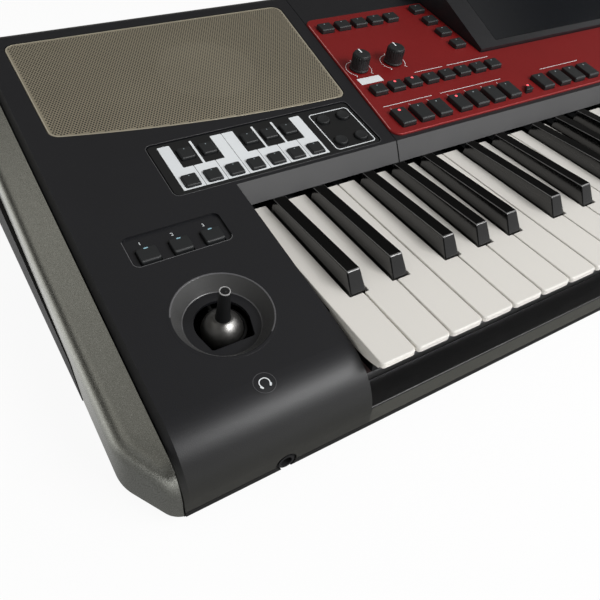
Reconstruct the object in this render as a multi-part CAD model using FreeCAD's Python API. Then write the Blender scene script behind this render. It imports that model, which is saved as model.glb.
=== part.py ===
import FreeCAD, Part
import math
import os

# Arranger keyboard: sixty-one sprung keys, a tilted control deck, two speakers and a joystick.
# Modelling frame, in millimetres: x = 0 at the left side of the lowest white key, y = 0 where
# the flat of the white tops begins, z = 0 at the white tops. x runs to the treble end, y to the
# rear, z up. HOME moves every piece to the part's own frame, whose origin lies on the floor
# under the middle of the case.

# Keys
KEY_PITCH = 23.5
OCTAVES = 5
KEY_GAP = 1.0
WHITES_PER_OCTAVE = 7
SHARP_SHIFTS = {1: -3.0, 2: 3.4, 4: -3.6, 5: 0.0, 6: 2.7}
WHITE_NAMES = ["c", "d", "e", "f", "g", "a", "b"]
SHARP_NAMES = {1: "c_sharp", 2: "d_sharp", 4: "f_sharp", 5: "g_sharp", 6: "a_sharp"}
WHITE_FRONT = -2.0
WHITE_REAR = 143.0
WHITE_CAP = 3.4
WHITE_CORNER = 3.0
WHITE_EDGE = 1.5
BLACK_FRONT = 47.6
BLACK_REAR = 144.5
BLACK_RAKE = 7.2
BLACK_HEIGHT = 11.3
BLACK_BASE = 10.8
BLACK_TOP = 8.8
BLACK_EDGE = 0.8
NOTCH_GAP = 1.1
RIB_SETBACK = 9.0
RIB_INSET = 2.5
RIB_DEPTH = 16.0
RIB_WIDTH_BLACK = 7.0
ARM_DROP = 6.0
ARM_TAIL = 6.0
PIVOT_Y = 208.0
PIVOT_DROP = 11.0
ROD_RADIUS = 2.0
RUN_FIT = 0.05
KEY_DIP = 10.0

# Case
CHEEK_LEFT = 105.0
CHEEK_RIGHT = 21.0
WELL_GAP = 1.5
CAP_WIDTH = 21.2
CAP_GAP = 0.3
CAP_DROP = 6.0
FLANK = 3.0
DECK_DEPTH = 220.5
CASE_FRONT = -4.0
WALL = 3.0
FRONT_ROLL = 32.0
CAP_ROLL = 14.0
FLANK_ROLL = 27.0
CAP_SOLID = 34.0
REAR_ROLL = 18.0
FACE_FOOT = -44.5
FLOOR_TOP = -45.3
FLOOR_THICK = 3.2
FOOT_HEIGHT = 6.0
FOOT_RADIUS = 11.0
DECK_TILT = 8.42
DECK_Z = -8.2
FALL_GAP = 9.0
FALL_FOOT = 1.0
FALL_LEAN = 28.0
CONTROL_WIDTH = 510.0
SEAM_SLANT = 0.119
SEAM_GAP = 0.5
RAIL_TOP = -31.5
RAIL_DEPTH = 16.0
RAIL_SKIN = 2.5
REAR_PLATE = 2.5
REAR_SET = 1.5
LINE_GAP = 0.3
CAP_EDGE = 8.0
CAP_CORNER = 20.0
CAP_BEVEL = (16.5, 29.0)
CAP_BEVEL_ROUND = 10.0
CAP_SIDE_ROUND = 28.0
CAP_FOOT = -47.5
CAP_STEP_Y = 84.0
CAP_STEP_RUN = 10.0
CAP_STEP_CLEAR = 1.4
CAP_BAND = 24.5
SIDE_SET = 0.8
SIDE_WALL = 2.5
SIDE_SWELL = (0.3, 5.0)
SIDE_GAP = 1.6

# Joystick
JOY_V = 67.2
CUP_RADIUS = 27.8
CUP_FLOOR_RADIUS = 21.7
CUP_DEPTH = 9.0
CUP_SKIN = 2.0
HATCH_HALF = 15.6
HATCH_FRONT = 14.3
BALL_RADIUS = 11.8
BALL_DEPTH = 15.0
STICK_TOP = 18.5
STICK_BASE_RADIUS = 3.9
STICK_TIP_RADIUS = 3.1
RING_INNER = 12.2
RING_OUTER = 13.6
RING_HALF = 2.2
SKIRT_INNER = 18.6
SKIRT_OUTER = 21.2
TRUNNION = 1.2

# Deck furniture, in deck places: u along x, v up the slope, h above the deck
SWITCH_POCKET = (60.4, 23.8)
SWITCH_POCKET_V = 125.6
SWITCH_POCKET_DEPTH = 1.6
SWITCH_PITCH = 19.6
SWITCH_DOWN = 4.6
SWITCH_SIZE = (12.0, 10.5)
SWITCH_RISE = 1.0
PAD_SIZE = (157.0, 50.0)
PAD_FROM_SEAM = 10.0
PAD_PLATE = 1.6
PAD_SINK = 0.4
NOTE_MARGIN = 6.7
NOTE_SPACE = 5.4
NOTE_DEPTH = 10.4
SHARP_SPACE = 5.8
NOTE_DOWN = 15.2
SHARP_UP = 9.8
NOTE_RISE = 1.5
PRESET_RADIUS = 4.8
PRESET_ROOM = 42.5
PRESET_FROM_EDGE = (28.4, 11.4)
PRESET_SHIFTS = (-14.2, 10.3)
GRILLE_FROM_EDGE = 14.5
GRILLE_FROM_SEAM = 8.0
GRILLE_FROM_PAD = 6.0
GRILLE_SKEW = 23.0
GRILLE_BULGE = 6.0
GRILLE_FROM_REAR = 27.6
GRILLE_CORNER = 8.0
GRILLE_PLATE = 1.6
GRILLE_SINK = 0.4
BAFFLE = 4.0
BAFFLE_RIM = 5.0
SPEAKER_FROM_REAR = 58.0
SPEAKER_CONE = 50.0
SPEAKER_FLANGE = 58.0
SPEAKER_PLATE = 3.0
SPEAKER_BASKET = 30.0
SPEAKER_DEPTH = 42.0
MAGNET_RADIUS = 33.0
PLATE_FROM_EDGE = 3.5
PLATE_FROM_REAR = 59.6
PLATE_THICK = 1.4
PLATE_CORNER = 8.0
LOWER_UP = 15.3
LOWER_SIZE = (12.6, 18.0)
LOWER_PITCH = 17.8
LOWER_STARTS = (19.4, 75.6, 188.2)
LOWER_COUNTS = (3, 4, 3)
LOWER_SINGLE = 168.1
WEDGE_U = 145.5
WEDGE_DOWN = 3.0
WEDGE_SIZE = (9.0, 8.0)
UPPER_UP = 50.9
UPPER_SIZE = (12.4, 10.4)
UPPER_PITCH = 17.2
UPPER_START = 21.8
UPPER_COUNT = 8
BLOCK_FROM_REAR = 18.0
BLOCK_START = 30.0
BLOCK_COUNT = 5
PAGE_COUNT = 4
PAGE_PITCH = 20.0
PAGE_UP = 16.0
PAGE_FROM_BEZEL = 14.0
BUTTON_RISE = 3.5
BUTTON_EDGE = 1.0
BUTTON_GAP = 0.4
BUTTON_STEM = 3.0
BUTTON_TRAVEL = 1.2
COLLAR = 1.2
BOARD_THICK = 1.6
BOARD_DROP = 8.5
KNOB_U = 24.5
KNOB_PITCH = 34.0
KNOB_UP = 82.3
KNOB_RADIUS = 8.0
KNOB_HEIGHT = 13.0
KNOB_LIFT = 0.6
SHAFT_RADIUS = 3.0
SHAFT_LENGTH = 14.0
DIAL_RADIUS = 19.0
DIAL_HEIGHT = 11.0
DIAL_U = 44.0
DIAL_UP = 95.3
BEZEL_WIDTH = 216.0
BEZEL_UP = 71.3
BEZEL_DEPTH = 122.0
BEZEL_BACK = 14.0
BEZEL_LIP = 4.0
BEZEL_RISE = 32.0
BEZEL_WALL = 3.0
SCREEN_SIZE = (172.0, 98.0)
SCREEN_THICK = 2.5
SCREEN_LEDGE = 3.0

# Sockets and inner pieces
JACK_BORE = 3.2
JACK_DEPTH = 14.0
JACK_NOTCH = 6.0
JACK_COLLAR = 4.6
JACK_WASHER = 5.7
JACK_Z = -43.2
JACK_BODY = 15.0
JACK_TALL = 8.3
SOCKET_Z = -24.0
SOCKET_DEPTH = 18.0
JACK_PLACES = (470.0, 500.0, 530.0, 560.0, 600.0, 630.0)
DIN_PLACES = (390.0, 425.0)
DIN_BORE = 6.7
DIN_BODY = 20.0
USB_PLACE = 345.0
USB_BODY = (17.0, 10.0)
USB_MOUTH = (12.6, 5.4)
USB_B_PLACE = 310.0
USB_B_BODY = (14.0, 13.0)
USB_B_MOUTH = (8.6, 7.9)
INLET_PLACE = 60.0
INLET_BODY = (32.0, 26.0)
INLET_MOUTH = (24.4, 17.0)
INLET_DEPTH = 16.0
INLET_PIN = (2.0, 5.0, 9.0)
INLET_PIN_PITCH = 7.0
POWER_PLACE = 15.0
POWER_RADIUS = 7.0
POWER_TRAVEL = 2.0
CHASSIS_TOP = -34.4
CHASSIS_SHEET = 1.6
CHASSIS_FRONT = 14.0
CHASSIS_TAIL = 18.0
CHASSIS_FLANGE_TOP = -4.0
CHASSIS_TAB = 2.0
CHASSIS_LEG = 4.0
STOP_WIDTH = 10.0
FELT = 2.0
FELT_GAP = 0.4
CONTACT_Y = 110.0
CONTACT_HALF = 15.0
STRIP_HALF = 6.0
STRIP_THICK = 1.5
DOME_RADIUS = 3.5
DOME_GAP = 0.6
BOARD_POST = 8.0
POST_RADIUS = 3.0
SCREW_HEAD = 3.6
SCREW_SHANK = 1.6
SCREW_LENGTH = 10.0
SCREW_SINK = 2.0

BOARD_REAR = 30.0
MAIN_WIDTH = 240.0
MAIN_DEPTH = 70.0
SUPPLY_WIDTH = 70.0
SUPPLY_DEPTH = 110.0
AMP_WIDTH = 120.0
AMP_DEPTH = 60.0
CHIP = 24.0
CHIP_HEIGHT = 4.0
TALL_PART = 16.0
SPREAD_NEAR = 150.0
SPREAD_FAR = 420.0
SPREAD_FRONT = 60.0
SPREAD_REAR = 40.0
FOOT_SHIFT = 30.0

# Worked-out places
SIN = math.sin(math.radians(DECK_TILT))
COS = math.cos(math.radians(DECK_TILT))
TAN = SIN / COS
WHITE_COUNT = OCTAVES * WHITES_PER_OCTAVE + 1
KEYS_WIDTH = WHITE_COUNT * KEY_PITCH
WELL_LEFT = -WELL_GAP
WELL_RIGHT = KEYS_WIDTH + WELL_GAP
SHELL_LEFT = WELL_LEFT - CHEEK_LEFT
CAP_INNER = SHELL_LEFT - FLANK - CAP_GAP
CASE_LEFT = CAP_INNER - CAP_WIDTH
CASE_RIGHT = WELL_RIGHT + CHEEK_RIGHT + FLANK + CAP_GAP + CAP_WIDTH
MIDDLE = (CASE_LEFT + CASE_RIGHT) / 2
FALL_Y = BLACK_REAR + FALL_GAP
CASE_REAR = FALL_Y + DECK_DEPTH
SEAM = MIDDLE - CONTROL_WIDTH / 2
CHEEK_MID = (SHELL_LEFT + WELL_LEFT) / 2
FLOOR_FOOT = FLOOR_TOP - FLOOR_THICK
GROUND = FLOOR_FOOT - FOOT_HEIGHT
PAD_LEFT = SEAM - PAD_FROM_SEAM - PAD_SIZE[0]
PAD_RIGHT = SEAM - PAD_FROM_SEAM
DECK_FRONT = FALL_Y / COS
DECK_REAR = CASE_REAR / COS
PLATE_FRONT = DECK_FRONT + PLATE_FROM_EDGE
PLATE_REAR = DECK_REAR - PLATE_FROM_REAR
PAD_V = PLATE_FRONT + PAD_SIZE[1] / 2
NOTE_PITCH = (PAD_SIZE[0] - NOTE_MARGIN - PRESET_ROOM) / WHITES_PER_OCTAVE
NOTE_START = NOTE_MARGIN + NOTE_PITCH / 2
NOTE_SIZE = (NOTE_PITCH - NOTE_SPACE, NOTE_DEPTH)
SHARP_SIZE = (NOTE_PITCH - SHARP_SPACE, NOTE_DEPTH)
NOTE_V = PAD_V - NOTE_DOWN
SHARP_V = PAD_V + SHARP_UP
PRESET_V = [PAD_V + shift for shift in PRESET_SHIFTS]
SWITCH_V = SWITCH_POCKET_V - SWITCH_DOWN
GRILLE_FRONT = PAD_V + PAD_SIZE[1] / 2 + GRILLE_FROM_PAD
GRILLE_REAR = DECK_REAR - GRILLE_FROM_REAR
SPEAKER_U = (SHELL_LEFT + GRILLE_FROM_EDGE + SEAM + GRILLE_FROM_SEAM) / 2
SPEAKER_V = GRILLE_REAR - SPEAKER_FROM_REAR
LOWER_V = PLATE_FRONT + LOWER_UP
WEDGE_V = LOWER_V - WEDGE_DOWN
UPPER_V = PLATE_FRONT + UPPER_UP
BLOCK_V = PLATE_REAR - BLOCK_FROM_REAR
KNOB_V = PLATE_FRONT + KNOB_UP
DIAL_V = PLATE_FRONT + DIAL_UP
BEZEL_FRONT = PLATE_FRONT + BEZEL_UP
BEZEL_REAR = BEZEL_FRONT + BEZEL_DEPTH
BEZEL_CREST = BEZEL_REAR - BEZEL_BACK
PAGE_V = BEZEL_FRONT + PAGE_UP
BUTTON_TOP = PLATE_THICK + BUTTON_RISE
STOP_TURN = math.asin(KEY_DIP / (PIVOT_Y - WHITE_FRONT))
BIG = 2000.0
HOME = FreeCAD.Vector(-MIDDLE, -(CASE_FRONT + CASE_REAR) / 2, -GROUND)
DECK = FreeCAD.Placement(
    FreeCAD.Vector(0, 0, DECK_Z), FreeCAD.Rotation(FreeCAD.Vector(1, 0, 0), DECK_TILT)
)


# Building helpers
def vec(x, y, z):
    return FreeCAD.Vector(x, y, z)


def block(x_span, y_span, z_span):
    size = [span[1] - span[0] for span in (x_span, y_span, z_span)]
    return Part.makeBox(*size, vec(x_span[0], y_span[0], z_span[0]))


def slab(points, low, high):
    ring = [vec(x, y, low) for x, y in points]
    face = Part.Face(Part.makePolygon(ring + ring[:1]))
    return face.extrude(vec(0, 0, high - low))


def bar(points, x_span):
    ring = [vec(x_span[0], y, z) for y, z in points]
    face = Part.Face(Part.makePolygon(ring + ring[:1]))
    return face.extrude(vec(x_span[1] - x_span[0], 0, 0))


def drum(radius, centre, reach):
    return Part.makeCylinder(radius, reach.Length, centre, reach)


def upright(edge):
    """Whether a straight edge runs along z."""
    ends = [vertex.Point for vertex in edge.Vertexes]
    if len(ends) < 2:
        return False
    run = ends[1] - ends[0]
    return abs(run.z) > 0.99 * run.Length


def round_uprights(shape, radius):
    return shape.makeFillet(radius, [edge for edge in shape.Edges if upright(edge)])


def tile(centre, size, low, high, corner):
    """A rounded rectangle about centre, from height low to high."""
    half = (size[0] / 2, size[1] / 2)
    x_span = (centre[0] - half[0], centre[0] + half[0])
    y_span = (centre[1] - half[1], centre[1] + half[1])
    return round_uprights(block(x_span, y_span, (low, high)), corner)


def round_top(shape, radius):
    """Rounds the edges that lie in the highest flat of a shape."""
    top = shape.BoundBox.ZMax
    rim = [edge for edge in shape.Edges if edge.BoundBox.ZMin > top - 0.01]
    return shape.makeFillet(radius, rim)


def on_deck(shape):
    placed = shape.copy()
    placed.Placement = DECK.multiply(shape.Placement)
    return placed


def mirrored(shape):
    return shape.mirror(vec(MIDDLE, 0, 0), vec(1, 0, 0))


def both_sides(shape):
    return [shape, mirrored(shape)]


# Side outlines of the case, as wires in a plane of constant x
def deck_z(y, depth):
    return DECK_Z + y * TAN - depth / COS


def polar(centre, radius, degrees):
    angle = math.radians(degrees)
    return (centre[0] + radius * math.cos(angle), centre[1] + radius * math.sin(angle))


def wire_of(x, path):
    """A closed wire through points; an item with three points is an arc."""
    edges = []
    last = path[0]
    for item in path[1:] + path[:1]:
        if len(item) == 3:
            points = [vec(x, y, z) for y, z in item]
            edges.append(Part.Arc(*points).toShape())
            last = item[2]
        else:
            edges.append(Part.LineSegment(vec(x, *last), vec(x, *item)).toShape())
            last = item
    return Part.Wire(edges)


def roll_arc(centre, radius, from_degrees, to_degrees):
    turns = (from_degrees, (from_degrees + to_degrees) / 2, to_degrees)
    return tuple(polar(centre, radius, turn) for turn in turns)


def front_arc(inset, depth, roll):
    y = CASE_FRONT + roll
    centre = (y, deck_z(y, depth) - roll / COS)
    return roll_arc((centre[0], centre[1]), roll - inset, 180, 90 + DECK_TILT)


def rear_arc(inset, depth):
    y = CASE_REAR - REAR_ROLL
    centre = (y, deck_z(y, depth) - REAR_ROLL / COS)
    return roll_arc(centre, REAR_ROLL - inset, 90 + DECK_TILT, 0)


def side_wire(x, inset, depth, roll, foot):
    """Front face, rolled nose, deck and rolled rear, offset inwards by inset."""
    nose = front_arc(inset, depth, roll)
    tail = rear_arc(inset, depth)
    front = CASE_FRONT + inset
    rear = CASE_REAR - inset
    return wire_of(x, [(front, foot), nose[0], nose, tail[0], tail, (rear, foot)])


def fall_line(inset):
    """Top and foot of the fallboard face, offset inwards by inset."""
    lean = math.tan(math.radians(FALL_LEAN))
    start = FALL_Y - deck_z(FALL_Y, 0) * lean + inset / math.cos(math.radians(FALL_LEAN))
    base = deck_z(0, inset)
    top = (start + lean * base) / (1 - lean * TAN)
    return (top, deck_z(top, inset)), (start + FALL_FOOT * lean, FALL_FOOT)


def deck_wire(x, inset, foot):
    """Fallboard face, deck and rolled rear, offset inwards by inset."""
    top, bottom = fall_line(inset)
    tail = rear_arc(inset, 0)
    path = [bottom, top, tail[0], tail, (CASE_REAR - inset, foot)]
    if foot < FALL_FOOT:
        path.append((bottom[0], foot))
    return wire_of(x, path)


def pull(wire, reach):
    return Part.Face(wire).extrude(vec(reach, 0, 0))


def seam_x(y):
    return SEAM + SEAM_SLANT * max(0.0, y - FALL_Y)


def seam_plan(low_x, gap):
    """Plan of all that lies left of the slanted seam, starting at low_x."""
    rear = CASE_REAR + 1
    points = [(low_x, CASE_FRONT - 1), (SEAM + gap, CASE_FRONT - 1), (SEAM + gap, FALL_Y)]
    points += [(seam_x(rear) + gap, rear), (low_x, rear)]
    return slab(points, -BIG, BIG)


# Keys
def sharp_at(seam):
    """Middle of the black key on a white seam, or None."""
    shift = SHARP_SHIFTS.get(seam % WHITES_PER_OCTAVE)
    if shift is None or not 0 < seam < WHITE_COUNT - 1:
        return None
    return seam * KEY_PITCH + shift


def white_sides(index):
    left = index * KEY_PITCH + KEY_GAP / 2
    right = (index + 1) * KEY_PITCH - KEY_GAP / 2
    reach = BLACK_BASE / 2 + NOTCH_GAP
    low_sharp = sharp_at(index)
    high_sharp = sharp_at(index + 1)
    rear_left = left if low_sharp is None else low_sharp + reach
    rear_right = right if high_sharp is None else high_sharp - reach
    return left, right, rear_left, rear_right


def pivot_hole():
    centre = vec(-BIG / 2, PIVOT_Y, -PIVOT_DROP)
    return drum(ROD_RADIUS + RUN_FIT, centre, vec(2 * BIG, 0, 0))


def key_arm(x_span, front, cap_rear, cap_under):
    rib = block(x_span, (front, cap_rear), (-RIB_DEPTH, cap_under))
    arm = block(x_span, (front, PIVOT_Y + ARM_TAIL), (-RIB_DEPTH, -ARM_DROP))
    return rib.fuse(arm)


def white_key(index):
    left, right, rear_left, rear_right = white_sides(index)
    notch = BLACK_FRONT - NOTCH_GAP
    plan = [(left, WHITE_FRONT), (right, WHITE_FRONT)]
    if rear_right < right:
        plan += [(right, notch), (rear_right, notch)]
    plan += [(rear_right, WHITE_REAR), (rear_left, WHITE_REAR)]
    if rear_left > left:
        plan += [(rear_left, notch), (left, notch)]
    cap = slab(plan, -WHITE_CAP, 0)
    corners = [e for e in cap.Edges if upright(e) and e.BoundBox.YMax < WHITE_FRONT + 1]
    cap = cap.makeFillet(WHITE_CORNER, corners)
    lip = [e for e in cap.Edges if e.BoundBox.ZMin > -0.01 and e.BoundBox.YMax < WHITE_FRONT + 4]
    cap = cap.makeFillet(WHITE_EDGE, lip)
    span = (rear_left + RIB_INSET, rear_right - RIB_INSET)
    arm = key_arm(span, WHITE_FRONT + RIB_SETBACK, WHITE_REAR, -WHITE_CAP)
    return cap.fuse(arm).cut(pivot_hole()).removeSplitter()


def black_ring(middle, half, front, z):
    points = [vec(middle - half, front, z), vec(middle + half, front, z)]
    points += [vec(middle + half, BLACK_REAR, z), vec(middle - half, BLACK_REAR, z)]
    return Part.makePolygon(points + points[:1])


def black_key(seam):
    middle = sharp_at(seam)
    base = black_ring(middle, BLACK_BASE / 2, BLACK_FRONT, 0)
    crown = black_ring(middle, BLACK_TOP / 2, BLACK_FRONT + BLACK_RAKE, BLACK_HEIGHT)
    cap = round_top(Part.makeLoft([base, crown], True, True), BLACK_EDGE)
    skirt_x = (middle - BLACK_BASE / 2, middle + BLACK_BASE / 2)
    skirt = block(skirt_x, (BLACK_FRONT, BLACK_REAR), (-WHITE_CAP, 0))
    half = RIB_WIDTH_BLACK / 2
    arm = key_arm((middle - half, middle + half), BLACK_FRONT, BLACK_REAR, -WHITE_CAP)
    return cap.fuse([skirt, arm]).cut(pivot_hole()).removeSplitter()


def octave_whites(first, last):
    return [white_key(index) for index in range(first, last)]


def octave_blacks(first, last):
    return [black_key(seam) for seam in range(first, last) if sharp_at(seam) is not None]


def keys():
    pieces = {}
    for index, name in enumerate(WHITE_NAMES):
        pieces["white_key_" + name] = white_key(index)
    for seam, name in SHARP_NAMES.items():
        pieces["black_key_" + name] = black_key(seam)
    second = WHITES_PER_OCTAVE
    third = 2 * WHITES_PER_OCTAVE
    pieces["white_keys_second_octave"] = Part.makeCompound(octave_whites(second, third))
    pieces["black_keys_second_octave"] = Part.makeCompound(octave_blacks(second, third))
    pieces["white_keys_upper_octaves"] = Part.makeCompound(octave_whites(third, WHITE_COUNT))
    pieces["black_keys_upper_octaves"] = Part.makeCompound(octave_blacks(third, WHITE_COUNT))
    return pieces


# Key bed
def pivot_rod():
    start = -WELL_GAP
    return drum(ROD_RADIUS, vec(start, PIVOT_Y, -PIVOT_DROP), vec(KEYS_WIDTH + 2 * WELL_GAP, 0, 0))


def stop_top():
    """Height of the felt under the white ribs at full dip."""
    y = CHASSIS_FRONT + STOP_WIDTH / 2 - PIVOT_Y
    z = PIVOT_DROP - RIB_DEPTH
    return y * math.sin(STOP_TURN) + z * math.cos(STOP_TURN) - PIVOT_DROP - FELT_GAP


def key_chassis():
    rear = PIVOT_Y + CHASSIS_TAIL
    x_span = (0, KEYS_WIDTH)
    under = CHASSIS_TOP - CHASSIS_SHEET
    sheet = block(x_span, (CHASSIS_FRONT, rear), (under, CHASSIS_TOP))
    flange = block(x_span, (rear - CHASSIS_SHEET, rear), (under, CHASSIS_FLANGE_TOP))
    stop = block(x_span, (CHASSIS_FRONT, CHASSIS_FRONT + STOP_WIDTH), (under, stop_top() - FELT))
    legs = []
    for y in (CHASSIS_FRONT + STOP_WIDTH, rear - CHASSIS_LEG):
        legs.append(block(x_span, (y, y + CHASSIS_LEG), (FLOOR_TOP, under)))
    tabs = []
    tab_z = (under, -ARM_DROP)
    for octave in range(OCTAVES + 1):
        x = octave * WHITES_PER_OCTAVE * KEY_PITCH
        x_tab = (x - CHASSIS_TAB / 2, x + CHASSIS_TAB / 2)
        tabs.append(block(x_tab, (PIVOT_Y - ARM_TAIL, rear), tab_z))
    x_end = (KEYS_WIDTH - CHASSIS_TAB / 2, KEYS_WIDTH + CHASSIS_TAB / 2)
    tabs.append(block(x_end, (PIVOT_Y - ARM_TAIL, rear), tab_z))
    return sheet.fuse([flange, stop] + legs + tabs).cut(pivot_hole()).removeSplitter()


def stop_felt():
    y_span = (CHASSIS_FRONT, CHASSIS_FRONT + STOP_WIDTH)
    return block((0, KEYS_WIDTH), y_span, (stop_top() - FELT, stop_top()))


def contact_board():
    y_span = (CONTACT_Y - CONTACT_HALF, CONTACT_Y + CONTACT_HALF)
    return block((KEY_GAP, KEYS_WIDTH - KEY_GAP), y_span, (CHASSIS_TOP, CHASSIS_TOP + BOARD_THICK))


def key_middles():
    middles = [sum(white_sides(index)[2:]) / 2 for index in range(WHITE_COUNT)]
    middles += [sharp_at(seam) for seam in range(WHITE_COUNT) if sharp_at(seam) is not None]
    return middles


def contact_strip():
    base = CHASSIS_TOP + BOARD_THICK
    top = base + STRIP_THICK
    y_span = (CONTACT_Y - STRIP_HALF, CONTACT_Y + STRIP_HALF)
    strip = block((KEY_GAP, KEYS_WIDTH - KEY_GAP), y_span, (base, top))
    arm = PIVOT_Y - CONTACT_Y + DOME_RADIUS
    crown = -RIB_DEPTH - arm * math.sin(STOP_TURN) - DOME_GAP
    reach = vec(0, 0, crown - base)
    domes = [drum(DOME_RADIUS, vec(x, CONTACT_Y, base), reach) for x in key_middles()]
    return strip.fuse(domes).removeSplitter()


# Shells
def grille_outline(grow):
    """Plan wire of the speaker grille on the deck, larger by grow all round."""
    left = SHELL_LEFT + GRILLE_FROM_EDGE - grow
    front = GRILLE_FRONT - grow
    rear = GRILLE_REAR + grow
    right = seam_x(GRILLE_FRONT) - GRILLE_FROM_SEAM - PLATE_FROM_EDGE + grow
    far_right = right + SEAM_SLANT * (GRILLE_REAR - GRILLE_FRONT)
    middle = ((left + right) / 2, front + GRILLE_SKEW / 2 - GRILLE_BULGE)
    sweep = Part.Arc(vec(left, front + GRILLE_SKEW, 0), vec(*middle, 0), vec(right, front, 0))
    corners = [vec(right, front, 0), vec(far_right, rear, 0), vec(left, rear, 0)]
    corners.append(vec(left, front + GRILLE_SKEW, 0))
    edges = [sweep.toShape()]
    for start, end in zip(corners, corners[1:]):
        edges.append(Part.LineSegment(start, end).toShape())
    return Part.Wire(edges)


def grille_slab(grow, low, high):
    flat = Part.Face(grille_outline(grow))
    solid = flat.extrude(vec(0, 0, high - low))
    solid.translate(vec(0, 0, low))
    return round_uprights(solid, GRILLE_CORNER + grow)


def shell_hull(well):
    """Closed outer form of one side shell: cheek, sloping flank and deck."""
    cheek = pull(side_wire(SHELL_LEFT, 0, 0, FRONT_ROLL, FACE_FOOT), well - SHELL_LEFT)
    flank_wires = [side_wire(SHELL_LEFT - FLANK, 0, CAP_DROP, FLANK_ROLL, FACE_FOOT)]
    flank_wires.append(side_wire(SHELL_LEFT, 0, 0, FRONT_ROLL, FACE_FOOT))
    flank = Part.makeLoft(flank_wires, True, True)
    far = seam_x(CASE_REAR) + 1
    deck = pull(deck_wire(SHELL_LEFT, 0, FALL_FOOT), far - SHELL_LEFT)
    return cheek.fuse([flank, deck])


def shell_hollow(well):
    """The spaces inside one side shell."""
    low = FACE_FOOT - 1
    start = SHELL_LEFT + WALL
    cheek = pull(side_wire(start, WALL, 0, FRONT_ROLL, low), well - WALL - start)
    far = seam_x(CASE_REAR) + 2
    deck = pull(deck_wire(start, WALL, low), far - start)
    door_y = (CASE_REAR - WALL - 1, CASE_REAR + 1)
    door = block((start, far), door_y, (low, FALL_FOOT))
    return [cheek, deck, door]


def side_shell(well):
    body = shell_hull(well).cut(shell_hollow(well))
    body = body.common(seam_plan(CASE_LEFT, 0))
    seat = -GRILLE_PLATE - GRILLE_SINK
    baffle = grille_slab(BAFFLE_RIM, -WALL - BAFFLE, -WALL)
    baffle = on_deck(baffle).common(seam_plan(SHELL_LEFT + WALL, 0))
    body = body.fuse(baffle)
    recess = grille_slab(LINE_GAP, seat, WALL)
    throat = drum(SPEAKER_CONE, vec(SPEAKER_U, SPEAKER_V, -BIG / 2), vec(0, 0, BIG))
    return body.cut([on_deck(recess), on_deck(throat)]).removeSplitter()


def jack_hole():
    return drum(JACK_NOTCH, vec(CHEEK_MID, CASE_FRONT - 1, JACK_Z), vec(0, JACK_BODY + 4, 0))


def left_shell():
    cuts = [drum(CUP_RADIUS + LINE_GAP, vec(CHEEK_MID, JOY_V, -BIG / 2), vec(0, 0, BIG))]
    pocket = (CHEEK_MID, SWITCH_POCKET_V)
    cuts.append(tile(pocket, SWITCH_POCKET, -SWITCH_POCKET_DEPTH, WALL, GRILLE_CORNER / 2))
    pad = ((PAD_LEFT + PAD_RIGHT) / 2, PAD_V)
    grown = (PAD_SIZE[0] + 2 * LINE_GAP, PAD_SIZE[1] + 2 * LINE_GAP)
    cuts.append(tile(pad, grown, -PAD_PLATE - PAD_SINK, WALL, GRILLE_CORNER / 2))
    cuts += switch_holes() + pad_holes()
    placed = [on_deck(cut) for cut in cuts]
    return side_shell(WELL_LEFT).cut(placed + [jack_hole()])


def right_shell():
    well = SHELL_LEFT + CHEEK_RIGHT
    return mirrored(side_shell(well))


def centre_frame():
    near = SEAM - 1
    hull = pull(deck_wire(near, 0, FALL_FOOT), 2 * (MIDDLE - near))
    hollow = pull(deck_wire(near - 1, WALL, FACE_FOOT), 2 * (MIDDLE - near) + 2)
    sides = both_sides(seam_plan(near - 2, SEAM_GAP))
    cuts = [on_deck(cut) for cut in deck_holes()]
    return hull.cut([hollow] + sides + cuts).removeSplitter()


# End caps and bottom
def cap_plan(left, front, high):
    """Upright prism of the case's left end, with a bevelled front corner and a round rear one."""
    inset = left - CASE_LEFT
    wide, deep = CAP_BEVEL
    shift = inset * math.hypot(1 / wide, 1 / deep)
    rear = CASE_REAR - inset
    points = [(left, rear), (left, front - inset + deep * (1 + shift - inset / wide))]
    points += [(left - inset + wide * (1 + shift - inset / deep), front)]
    points += [(MIDDLE, front), (MIDDLE, rear)]
    plan = slab(points, -high, high)
    tail = [e for e in plan.Edges if upright(e) and e.BoundBox.XMax < left + 1
            and e.BoundBox.YMin > rear - 1]
    plan = plan.makeFillet(CAP_CORNER - inset, tail)
    nose = [e for e in plan.Edges if upright(e) and e.BoundBox.XMax < MIDDLE - 1
            and e.BoundBox.YMax < front + deep / 2]
    plan = plan.makeFillet(CAP_BEVEL_ROUND, nose)
    side = [e for e in plan.Edges if upright(e) and e.BoundBox.XMax < left + 1
            and e.BoundBox.YMax < front + deep + CAP_EDGE]
    return plan.makeFillet(CAP_SIDE_ROUND, side)


def cap_rim(shape):
    """Edges between the outer side of the cap and its top."""
    rim = []
    for edge in shape.Edges:
        box = edge.BoundBox
        if box.XMax < CASE_LEFT + 0.01 and box.YMax - box.YMin > CAP_CORNER and box.ZMax > 0:
            rim.append(edge)
    return rim


def cap_foot(rise):
    """What lies below the stepped lower edge of the cap, raised by rise."""
    step = CAP_STEP_Y - rise
    band_y = step + CAP_STEP_RUN
    rear = CASE_REAR + 1
    low = CAP_FOOT - CAP_BAND
    points = [(CASE_FRONT - 1, low), (rear, low), (rear, deck_z(rear, CAP_DROP + CAP_BAND) + rise)]
    points.append((band_y, deck_z(band_y, CAP_DROP + CAP_BAND) + rise))
    points += [(step, CAP_FOOT + rise), (CASE_FRONT - 1, CAP_FOOT + rise)]
    return bar(points, (CASE_LEFT - SIDE_SWELL[1] - 1, CAP_INNER + 1))


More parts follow.
